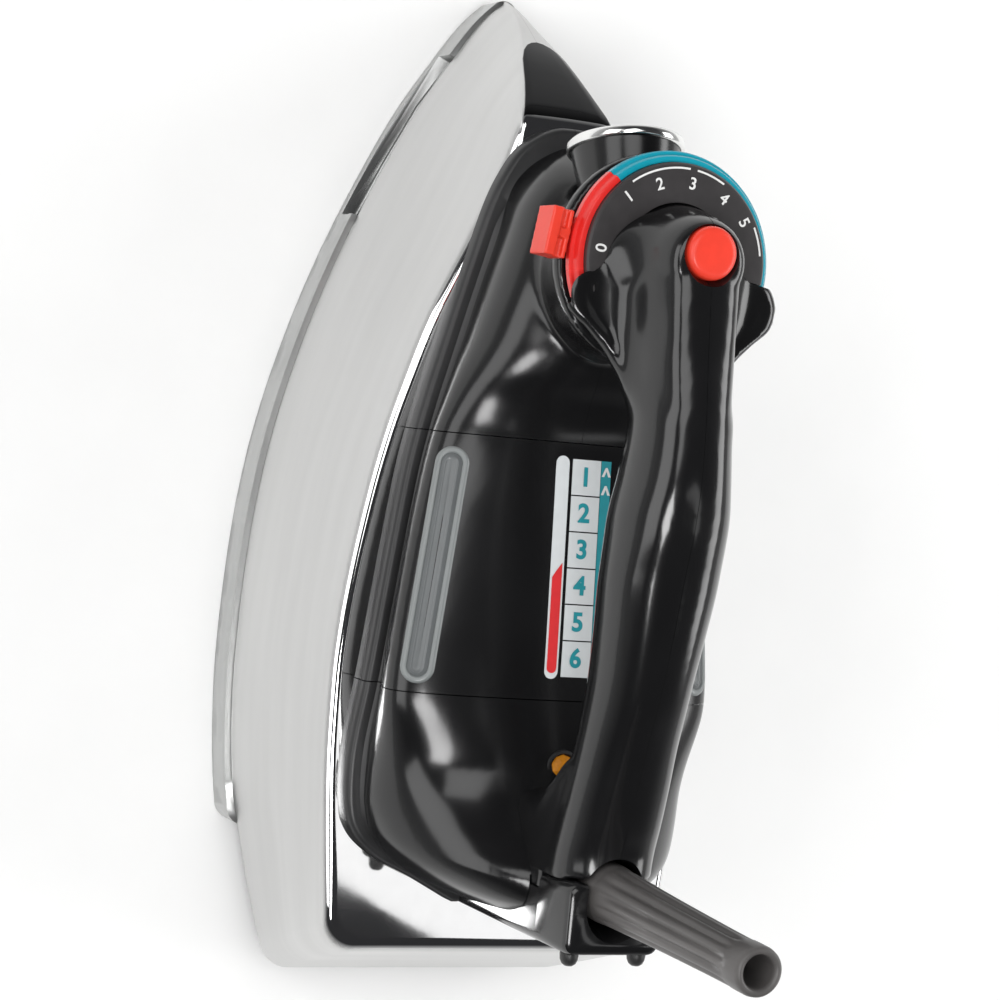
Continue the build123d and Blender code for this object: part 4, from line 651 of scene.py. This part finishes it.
def rows_rect(x0, x1, y0, y1, n=24, r0=0.0, r1=0.0):
    out = []
    for i in range(n + 1):
        x = x0 + (x1 - x0) * i / n
        c = 0.0
        for xe, r in ((x0, r0), (x1, r1)):
            e = abs(x - xe)
            if r > 0 and e < r:
                c = max(c, r - sqrt(max(r * r - (r - e) ** 2, 0.0)))
        out.append((x, y0 + c, y1 - c))
    return out


# light cells with rounded outer corners, drawn over a dark backing that shows as thin dividers
GX0, GX1 = 11.2, -41.2
CELL_L = (GX0 - GX1) / 6
for i in range(6):
    a = GX0 - CELL_L * i - (0.0 if i == 0 else 0.16)
    b = GX0 - CELL_L * (i + 1) + (0.0 if i == 5 else 0.16)
    sheet_patch("guide_cell_%d" % (i + 1), rows_rect(a, b, -5.6, 2.0, 8), 0.16, 0.5, "cell", *(["fabric_guide"] if i == 0 else []))
sheet_patch("guide_stripe", rows_rect(GX0, GX1, -8.4, -5.75, 30), 0.16, 0.5, "teal")
strip = []
for i in range(41):
    x = (11.8 - 41.8) / 2 + (11.8 + 41.8) / 2 * cos(pi * i / 40)
    e = min(abs(x - 11.8), abs(x + 41.8))
    r = 1.75
    c = 0.0 if e >= r else r - sqrt(max(r * r - (r - e) ** 2, 0.0))
    strip.append((x, 2.9 + c * 0.98, 6.4 - c * 0.98))
sheet_patch("guide_strip", strip, 0.16, 0.5, "cell")
bar = []
for i in range(25):
    x = -14.0 - 26.4 * sin(pi / 2 * i / 24)
    e = abs(x + 40.4)
    r = 1.25
    c = 0.0 if e >= r else r - sqrt(max(r * r - (r - e) ** 2, 0.0))
    t = min(1.0, (abs(x + 14.0)) / 3.2)
    bar.append((x, 3.4 + c * 0.98, 3.45 + (5.9 - 3.45) * t - c * 0.98 if t >= 1 else 3.45 + 2.45 * t))
sheet_patch("guide_bar", bar, 0.3, 0.3, "printred")


def numeral(txt, name, size, pos, xd, mat, thick=0.12, body_name="iron", conform=None, bold=0.014):
    cu = bpy.data.curves.new(name, "FONT")
    cu.body = txt; cu.size = size * MM; cu.align_x = "CENTER"; cu.align_y = "CENTER"
    cu.extrude = thick * MM * 0.5; cu.offset = bold * size * MM; cu.resolution_u = 5
    ob = bpy.data.objects.new(name, cu)
    coll.objects.link(ob)
    dg = bpy.context.evaluated_depsgraph_get()
    me = bpy.data.meshes.new_from_object(ob.evaluated_get(dg))
    bpy.data.objects.remove(ob)
    x = Vector(xd).normalized(); z = Vector((0, 0, 1)); y = z.cross(x)
    mat4 = Matrix(((x.x, y.x, z.x, pos[0] * MM), (x.y, y.y, z.y, pos[1] * MM), (x.z, y.z, z.z, pos[2] * MM), (0, 0, 0, 1)))
    me.transform(mat4)
    if conform:
        for v in me.vertices:
            v.co.z += (conform(v.co.x / MM, v.co.y / MM) - pos[2]) * MM
    bm = bmesh.new(); bm.from_mesh(me)
    bmesh.ops.remove_doubles(bm, verts=bm.verts, dist=1e-7)
    bmesh.ops.triangulate(bm, faces=bm.faces[:])
    bmesh.ops.recalc_face_normals(bm, faces=bm.faces)
    bm.to_mesh(me); bm.free()
    ob = bpy.data.objects.new(name, me)
    coll.objects.link(ob)
    finish_piece(ob, mat, body_name)
    return ob


for i in range(6):
    xc = GX0 - CELL_L * (i + 0.5)
    numeral(str(i + 1), "guide_digit_%d" % (i + 1), 6.3, (xc, -1.6, 82.0), (0, -1, 0), "teal", conform=lambda x, y: on_body(x, y, 0.2), bold=0.03)
for i in range(2):
    numeral("^", "guide_arrow_%d" % (i + 1), 5.2, (7.6 - 4.4 * i, -7.15, 82.0), (0, -1, 0), "white", conform=lambda x, y: on_body(x, y, 0.2), bold=0.02)

# ---------------------------------------------------------------- handle
# stations: x, then nine half-section points from the crown to the underside
def ell(w, zw, zt, zb):
    n = 2.0 / 2.3
    out = []
    for a in (90, 66, 44, 22, 0, -22, -44, -66, -90):
        c = abs(cos(radians(a))) ** n if abs(a) != 90 else 0.0
        s = abs(sin(radians(a))) ** n
        out.append((w * c, zw + (zt - zw) * s if a > 0 else zw - (zw - zb) * s))
    return out


HS = [
    (60.0, [(0, 134.6), (6.5, 133.6), (10.0, 129.0), (12.2, 122.5), (13.0, 119.6), (13.2, 118.0), (13.0, 116.5), (8.0, 116.35), (0, 116.3)]),
    (55.0, [(0, 136.2), (6.8, 135.2), (10.6, 130.0), (13.2, 123.0), (18.5, 119.8), (24.3, 119.2), (25.4, 116.4), (14.0, 113.2), (0, 113.1)]),
    (50.5, [(0, 136.8), (6.9, 135.7), (10.6, 130.2), (13.4, 122.6), (19.4, 119.5), (25.2, 119.9), (26.8, 117.6), (14.5, 113.2), (0, 113.1)]),
    (46.0, [(0, 137.3), (6.9, 136.1), (10.3, 130.6), (13.0, 122.8), (18.4, 119.7), (24.4, 120.2), (25.9, 117.6), (14.0, 113.2), (0, 113.1)]),
    (41.0, [(0, 137.8), (6.8, 136.5), (10.1, 131.0), (12.2, 123.8), (15.4, 120.6), (19.5, 120.9), (20.6, 118.0), (12.5, 113.3), (0, 113.1)]),
    (36.0, [(0, 138.4), (6.6, 137.0), (9.9, 132.0), (11.5, 125.6), (13.2, 122.2), (15.5, 121.2), (15.6, 117.8), (9.5, 113.9), (0, 113.4)]),
    (29.5, [(0, 139.3), (6.3, 137.9), (9.7, 133.0), (11.2, 128.0), (12.0, 124.6), (12.4, 121.6), (11.2, 118.0), (7.0, 115.6), (0, 115.0)]),
    (21.5, ell(11.3, 128.0, 140.2, 116.2)), (10.0, ell(12.2, 127.5, 140.7, 114.5)), (-1.0, ell(13.4, 126.5, 139.6, 112.5)), (-13.0, ell(13.4, 125.0, 136.9, 111.5)),
    (-27.0, ell(12.5, 122.5, 134.1, 110.5)), (-40.0, ell(11.7, 119.8, 131.0, 108.5)), (-52.0, ell(11.6, 117.0, 127.0, 106.0)), (-63.0, ell(11.9, 114.5, 123.8, 102.5)),
    (-72.0, ell(12.2, 111.5, 121.2, 99.0)), (-79.5, ell(12.3, 109.0, 119.0, 97.0)), (-84.5, ell(12.3, 108.0, 118.8, 96.5))]
flat = [(x,) + tuple(v for p in pts for v in p) for x, pts in HS]
hr = []
for i in range(110):
    x = 60.0 - 144.4 * i / 109
    ctrl = [(table_at(x, flat, 1 + 2 * k), table_at(x, flat, 2 + 2 * k)) for k in range(9)]
    half = catmull(ctrl, 5)
    ring = [(x, max(y, 0.0), z) for y, z in half] + [(x, -max(y, 0.0), z) for y, z in reversed(half[1:-1])]
    hr.append(ring)
grip = loft("grip", hr)
hump_prof = [(113.4, 13.3), (119.0, 13.3), (119.6, 13.2), (121.5, 12.9), (126.0, 11.9), (130.0, 10.9), (133.0, 9.8), (134.9, 8.6), (135.5, 7.4)]


def ease(t):
    t = min(max(t, 0.0), 1.0)
    return t * t * (3 - 2 * t)


hump_rings = []
for i in range(36):
    z = 113.4 + (135.5 - 113.4) * i / 35
    base = table_at(-z, [(-a, b) for a, b in hump_prof])
    g = max(0.0, 1.0 - max(z - 119.5, 0.0) / 9.5) ** 2
    ring = []
    for k in range(96):
        a = 360.0 * k / 96
        a = a - 360 if a > 180 else a
        fl_ = 5.6 * ease((a - 28) / 76) if a > 0 else 3.2 * ease((-a - 40) / 60)
        r = base + fl_ * g
        ring.append((DIAL_X + r * cos(radians(a)), r * sin(radians(a)), z))
    hump_rings.append(ring)
hump = loft("hump", hump_rings)


def rrect(cx, cy, hx, hy, z, r, n=8):
    pts = []
    for sx, sy, a0 in ((1, 1, 0), (-1, 1, 90), (-1, -1, 180), (1, -1, 270)):
        for k in range(n):
            a = radians(a0 + 90 * k / (n - 1))
            pts.append((cx + sx * (hx - r) + r * cos(a), cy + sy * (hy - r) + r * sin(a), z))
    return pts


pil = []
for z, xa, xb, w in ((80.0, -67.6, -91.0, 13.4), (83.5, -67.6, -91.0, 13.2), (86.5, -67.5, -91.0, 12.9), (90.0, -67.2, -91.0, 12.5), (95.0, -66.0, -91.0, 12.1), (99.0, -64.0, -91.0, 12.0), (103.0, -61.0, -91.0, 12.0), (107.0, -57.0, -91.0, 11.9), (112.0, -54.0, -91.0, 11.6)):
    pil.append(rrect((xa + xb) / 2, 0, (xa - xb) / 2, w, z, 6.5 if z < 98 else 5.0))
pillar = loft("pillar", pil)
core = loft("core", [[(max(min(58.5 + 23.0 * cos(2*pi*k/64), 52.0), 30.0), 22.6 * sin(2*pi*k/64), z) for k in range(64)] for z in (109.25, 114.5)])
handle = joined("handle_mass", [grip, hump, pillar, core])
remesh(handle, 0.7, 9)


def sector_poly(a0, a1, r, cx=DIAL_X, n=60):
    return [(cx, 0.0)] + [(cx + r * cos(radians(a0 + (a1 - a0) * i / n)), r * sin(radians(a0 + (a1 - a0) * i / n))) for i in range(n + 1)]


def ring_sector(r0, r1, z0, z1, a0, a1):
    return lathe("c", [(r0, z0), (r1, z0), (r1, z1), (r0, z1)], (DIAL_X, 0, 0), (0, 0, 1), (1, 0, 0), 90, a0, a1)


def lean_cutters():
    """Room for the guard over its whole swing: one flaring slot."""
    rings = []
    for i in range(9):
        h = -1.0 + 27.0 * i / 8
        ring = []
        for k in range(56):
            c = cos(2 * pi * (k + 0.5) / 56)
            lean, r = (-0.04 + sin(radians(9)), 7.5) if c > 0 else (-tan(radians(18.5)), 8.0)
            ring.append((-87.4 + lean * max(h, 0) + r * c, 7.5 * sin(2 * pi * (k + 0.5) / 56), 110.0 + h))
        rings.append(ring)
    return [loft("c", rings)]


boolean(handle, [
    ring_sector(13.55, 30.0, 112.0, 119.5, -98.0, 114.0),
    lathe("c", [(0, 108.0), (23.2, 108.0), (23.2, 116.35), (0, 116.35)], (DIAL_X, 0, 0), (0, 0, 1), (1, 0, 0), 72, -106.4, 106.4),
    lathe("c", [(0, 121.4), (6.62, 121.4), (6.62, 126.9), (6.3, 127.0), (6.3, 134.2), (7.5, 136.2), (7.5, 145), (0, 145)], (BUTTON_X, 0, 0), (0, 0, 1), (1, 0, 0), 64),
    prism("c", [(43.0, -3.5), (62.0, -3.5), (62.0, 3.5), (43.0, 3.5)], 119.5, 127.2),
    tube("c", 5.4, (BUTTON_X, 0, 118.0), (BUTTON_X, 0, 125.0)),
    tube("c", 2.2, (VALVE_X, 0, 100.0), (VALVE_X, 0, 121.0)),
    tube("c", 8.1, (-87.4, -7.75, 110.0), (-87.4, 7.75, 110.0), 48),
    prism("c", [(-83.0, -5.5), (-95.0, -5.5), (-95.0, 5.5), (-83.0, 5.5)], 92.0, 106.0),
] + lean_cutters())
bm = bmesh.new(); bm.from_mesh(handle.data); bvh_handle = BVHTree.FromBMesh(bm); bm.free()
hl = cut(handle, "handle_left_skin", [((0, 0.07, 0), (0, 1, 0)), ((-84.72, 0, 0), (1, 0, 0))])
finish_piece(hl, "handle", "iron", "handle_left")
hr_ = cut(handle, "handle_right_skin", [((0, -0.07, 0), (0, -1, 0)), ((-84.72, 0, 0), (1, 0, 0))])
finish_piece(hr_, "handle", "iron", "handle_right")
drop(handle)

# foot of the handle behind the pillar, under the guard's seat
root = loft("handle_root", [rrect(-86.5, 0, 2.2, w, z, 0.7, 5) for z, w in ((58.0, 12.1), (101.0, 12.15), (102.4, 12.15), (103.0, 11.8))])
boolean(root, [tube("c", 8.1, (-87.4, -7.75, 110.0), (-87.4, 7.75, 110.0), 48)])
sharp(root, 40)
finish_piece(root, "handle", "iron")

# ---------------------------------------------------------------- heel block
heel_rings = []
for z, hx, hy, r in ((55.85, 8.3, 12.1, 2.4), (56.4, 8.35, 12.3, 2.6), (103.0, 8.35, 12.3, 2.6), (117.2, 8.35, 12.3, 2.6), (118.5, 8.0, 11.95, 2.6), (119.1, 7.2, 11.1, 2.2)):
    heel_rings.append(rrect(-93.15, 0, hx, hy, z, r, 7))
heel = loft("heel_block_skin", heel_rings)
for cutter in [
    prism("c", [(-84.0, -20.0), (-88.75, -20.0), (-88.75, 20.0), (-84.0, 20.0)], 50.0, 103.1),
    prism("c", [(-86.0, -9.9), (-99.2, -9.9), (-99.2, 9.9), (-86.0, 9.9)], 58.0, 101.0),
    tube("c", 8.1, (-87.4, -7.75, 110.0), (-87.4, 7.75, 110.0), 48),
] + lean_cutters() + [tube("c", 3.9, (-87.4, 0, 98.0), (-87.4, 0, 112.0))]:
    boolean(heel, [cutter])
bmx = bmesh.new(); bmx.from_mesh(heel.data)
bmesh.ops.remove_doubles(bmx, verts=bmx.verts, dist=1e-6); bmx.to_mesh(heel.data); bmx.free()
bevel(heel, 0.5, 2, 38)
finish_piece(heel, "handle", "iron", "heel_block")
for s in (1, -1):
    ft = lathe("heel_foot_" + ("left" if s > 0 else "right"), [(0, -0.4), (2.1, -0.4), (2.25, 0.2), (2.1, 1.5), (1.7, 2.4), (1.0, 2.95), (0.0, 3.1)], (-101.5, 8.7 * s, 114.6), (-1, 0, 0), (0, 0, 1), 40)
    finish_piece(ft, "foot", "iron", *(["heel_feet"] if s > 0 else []))

# ---------------------------------------------------------------- cord guard
gz = Vector((-0.04, 0, 1)).normalized(); gx = Vector((1, 0, 0.04)).normalized(); gy = gz.cross(gx)
GO = Vector((-87.4, 0, 110.0))
gl = []


def guard_ring(s, r, depth=0.0, n=96):
    out = []
    for k in range(n):
        a = 2 * pi * k / n
        f = 0.5 + 0.5 * cos(12 * a)
        rr = r - depth * (1 - f) ** 2
        out.append(tuple(GO + gz * s + (gx * cos(a) + gy * sin(a)) * rr))
    return out


def g_r(s):
    return table_at(-s, [(-0.0, 7.0), (-6.0, 6.95), (-14.0, 6.7), (-30.0, 6.2), (-50.0, 5.75), (-66.0, 5.5), (-75.4, 5.45)])


seq = [(-2.0, 3.65, 0), (-5.6, 3.7, 0), (-5.9, 4.6, 0), (-4.6, 5.8, 0), (-2.0, 6.8, 0), (1.5, 7.1, 0), (5.0, 7.15, 0), (7.6, 7.0, 0), (8.6, 6.75, 0), (9.4, g_r(9.4) - 0.1, 0.1)]
for i in range(22):
    s = 11.0 + (66.5 - 11.0) * i / 21
    d = 0.75 * min(1.0, (s - 10.0) / 6.0, (69.0 - s) / 4.0)
    seq.append((s, g_r(s), max(d, 0.0)))
seq += [(68.4, g_r(68.4), 0.05), (69.2, g_r(69.2) + 0.12, 0), (71.0, 5.62, 0), (74.0, 5.6, 0), (75.05, 5.4, 0), (75.48, 4.95, 0), (75.43, 4.3, 0), (75.1, 3.85, 0), (74.2, 3.65, 0), (60.0, 3.62, 0), (30.0, 3.62, 0)]
guard = loft("cord_guard_sleeve", [guard_ring(*q) for q in seq], join=True)
sharp(guard, 55)
finish_piece(guard, "rubber", "guard", "cord_guard")

# ---------------------------------------------------------------- fill cup
t15 = radians(15)
cz = (-cos(t15), 0, sin(t15)); cx_ = (sin(t15), 0, cos(t15))
cup = lathe("fill_cup_body", [(12.6, 0.5), (13.15, 0.5), (13.15, 2.0), (12.95, 3.0), (12.3, 7.0), (11.7, 9.6), (11.2, 11.0), (10.9, 12.6), (10.8, 16.5), (3.2, 16.5), (3.2, 17.0), (2.2, 17.0), (2.2, 10.9), (8.2, 9.9), (9.6, 8.4), (10.6, 5.0), (11.8, 1.2)], (87.0, 0, 87.5), cz, cx_, 96)
sharp(cup, 40)
finish_piece(cup, "body", "iron", "fill_cup")
rim = lathe("fill_cup_rim", [(11.9, 0.9), (12.0, 0.1), (12.5, -0.25), (13.2, -0.35), (13.9, -0.1), (14.15, 0.5), (14.15, 1.7), (13.9, 2.1), (13.2, 2.2), (13.2, 0.9)], (87.0, 0, 87.5), cz, cx_, 96)
sharp(rim, 50)
finish_piece(rim, "rim", "iron", "cup_rim")

# ---------------------------------------------------------------- dial
plate = lathe("dial_plate_face", [(22.85, 116.4), (22.85, 118.7), (22.4, 119.2), (21.8, 119.3), (14.4, 119.3), (13.7, 119.15), (13.7, 116.4)], (DIAL_X, 0, 0), (0, 0, 1), (1, 0, 0), 120, -97.4, 113.4)
sharp(plate, 35)
finish_piece(plate, "plate", "iron", "dial_plate")
rprof = [(22.95, 113.4), (25.3, 113.4), (25.6, 113.7), (25.6, 115.3), (25.35, 115.65), (24.75, 115.75), (24.6, 115.95), (24.5, 116.9), (24.2, 117.3), (23.6, 117.45), (22.95, 117.4)]
for nm, a0, a1, mt in (("dial_ring_red", 42.2, 113.4, "red"), ("dial_ring_blue", -97.4, 42.0, "blue")):
    o = lathe(nm, rprof, (DIAL_X, 0, 0), (0, 0, 1), (1, 0, 0), 90, a0, a1)
    sharp(o, 35)
    finish_piece(o, mt, "iron", *(["dial_ring"] if mt == "blue" else []))
for txt, r, a in (("0", 19.6, 86.0), ("1", 19.4, 45.6), ("2", 18.3, 20.1), ("3", 18.3, -6.6), ("4", 18.9, -33.8), ("5", 19.6, -56.1)):
    ar = radians(a)
    numeral(txt, "dial_digit_" + txt, 3.9, (DIAL_X + r * cos(ar), r * sin(ar), 119.33), (sin(ar), -cos(ar), 0), "white", 0.1)
# thin printed arcs in place of the words
for nm, r, a0, a1 in (("dial_arc_a", 21.6, -3.0, 38.0), ("dial_arc_b", 21.6, -28.0, -8.0), ("dial_arc_c", 21.6, -80.0, -62.0)):
    o = lathe(nm, [(r - 0.22, 119.25), (r + 0.22, 119.25), (r + 0.22, 119.38), (r - 0.22, 119.38)], (DIAL_X, 0, 0), (0, 0, 1), (1, 0, 0), 24, a0, a1)
    sharp(o, 35)
    finish_piece(o, "white", "iron")

# temperature lever
la = radians(82.0)
lx, ly = cos(la), sin(la)


def LP(r, t, z):
    return (DIAL_X + r * lx - t * ly, r * ly + t * lx, z)


def lbox(name, r0, r1, t0, t1, z0, z1):
    v = [LP(r, t, z) for z in (z0, z1) for r, t in ((r0, t0), (r1, t0), (r1, t1), (r0, t1))]
    return make(name, v, [(0, 1, 2, 3), (4, 5, 6, 7), (0, 1, 5, 4), (1, 2, 6, 5), (2, 3, 7, 6), (3, 0, 4, 7)], smooth=False)


parts = [lbox("a", 0.0, 27.5, -3.4, 3.4, 109.7, 112.5), lbox("b", 26.3, 31.9, -5.55, 5.55, 108.6, 114.9), lbox("p", 29.3, 31.9, -5.55, 5.55, 108.4, 116.7),
         lbox("s", 26.3, 29.6, -1.1, 1.1, 114.0, 116.0), lbox("e", 26.3, 27.4, -5.55, 5.55, 114.0, 115.9)]
lever = joined("lever_tab", parts)
hub = lathe("hub", [(0, 109.7), (5.1, 109.7), (5.1, 112.5), (0, 112.5)], (DIAL_X, 0, 0), (0, 0, 1), (1, 0, 0), 48)
lever = joined("temperature_lever_body", [lever, hub])
remesh(lever, 0.28, 3)
finish_piece(lever, "coral", "lever", "temperature_lever")

# steam button: a cap with a soft edge and a skirt
btn = lathe("steam_button_cap", [(0, 124.8), (6.4, 124.8), (6.4, 126.6), (6.12, 126.8), (6.12, 134.6), (6.05, 135.5), (5.7, 136.2), (5.1, 136.55), (4.3, 136.62), (2.0, 136.68), (0, 136.7)], (BUTTON_X, 0, 0), (0, 0, 1), (1, 0, 0), 72)
sharp(btn, 50)
finish_piece(btn, "coral", "button", "steam_button")

# indicator lens, a faceted jewel
lens = lathe("indicator_jewel", [(0, 79.8), (4.0, 79.8), (4.0, 81.2), (3.15, 81.4), (3.15, 84.9), (2.9, 85.4), (2.0, 86.6), (0.9, 87.1), (0, 87.15)], (-62.9, 0, 0), (0, 0, 1), (1, 0, 0), 10, smooth=False)
lens.data.shade_flat()
finish_piece(lens, "lens", "iron", "indicator_lens")
bez = lathe("indicator_bezel", [(3.3, 82.0), (4.3, 82.0), (4.3, 84.9), (4.0, 85.3), (3.5, 85.3), (3.3, 85.0)], (-62.9, 0, 0), (0, 0, 1), (1, 0, 0), 48)
sharp(bez, 40)
finish_piece(bez, "flange", "iron")

# ---------------------------------------------------------------- floor and light
me = bpy.data.meshes.new("floor")
me.from_pydata([(-4, -4, -0.0002), (4, -4, -0.0002), (4, 4, -0.0002), (-4, 4, -0.0002)], [], [(0, 1, 2, 3)])
floor = bpy.data.objects.new("floor", me)
coll.objects.link(floor)
me.materials.append(material("floor_pale", (0.9, 0.9, 0.895), rough=0.6, var=0.01, grain=30, bump=0.02, lvar=0.01))

bpy.context.scene.view_settings.view_transform = "Standard"
world = bpy.data.worlds.new("world")
bpy.context.scene.world = world
world.use_nodes = True
wn = world.node_tree
bg = wn.nodes["Background"]
bg.inputs[0].default_value = (1, 1, 1, 1)
bg.inputs[1].default_value = 0.5
# a dark studio round the lamps: what polished surfaces mirror
bd = wn.nodes.new("ShaderNodeBackground")
tcw = wn.nodes.new("ShaderNodeTexCoord"); sxw = wn.nodes.new("ShaderNodeSeparateXYZ")
wn.links.new(tcw.outputs["Generated"], sxw.inputs[0])
crw = wn.nodes.new("ShaderNodeValToRGB")
crw.color_ramp.elements[0].position = 0.0; crw.color_ramp.elements[0].color = (0.5, 0.5, 0.5, 1)
crw.color_ramp.elements[1].position = 0.55; crw.color_ramp.elements[1].color = (0.03, 0.03, 0.032, 1)
wn.links.new(sxw.outputs["Z"], crw.inputs["Fac"]); wn.links.new(crw.outputs["Color"], bd.inputs[0])
bd.inputs[1].default_value = 1.0
lp = wn.nodes.new("ShaderNodeLightPath"); mxw = wn.nodes.new("ShaderNodeMixShader")
wn.links.new(lp.outputs["Is Glossy Ray"], mxw.inputs[0]); wn.links.new(bg.outputs[0], mxw.inputs[1]); wn.links.new(bd.outputs[0], mxw.inputs[2])
wn.links.new(mxw.outputs[0], wn.nodes["World Output"].inputs[0])


def area_light(name, loc, target, sx, sy, power):
    ld = bpy.data.lights.new(name, "AREA")
    ld.energy = power; ld.shape = "RECTANGLE"; ld.size = sx; ld.size_y = sy
    ob = bpy.data.objects.new(name, ld)
    coll.objects.link(ob)
    ob.location = loc
    ob.rotation_euler = (Vector(target) - Vector(loc)).to_track_quat("-Z", "Y").to_euler()
    return ob


area_light("key", (-0.34, 0.38, 1.30), (0, 0, 0.05), 0.36, 0.36, 5.0)
area_light("back", (-0.255, -0.50, 1.18), (0, 0, 0.05), 0.17, 0.62, 0.36)
area_light("side", (0.15, 1.25, 1.0), (0, 0, 0.05), 1.5, 0.8, 9.0)
area_light("rim", (0.05, -1.25, 0.75), (0, 0, 0.08), 1.3, 0.45, 8.0)
area_light("front", (0.42, 0.30, 1.30), (0, 0, 0.05), 0.7, 0.6, 3.2)
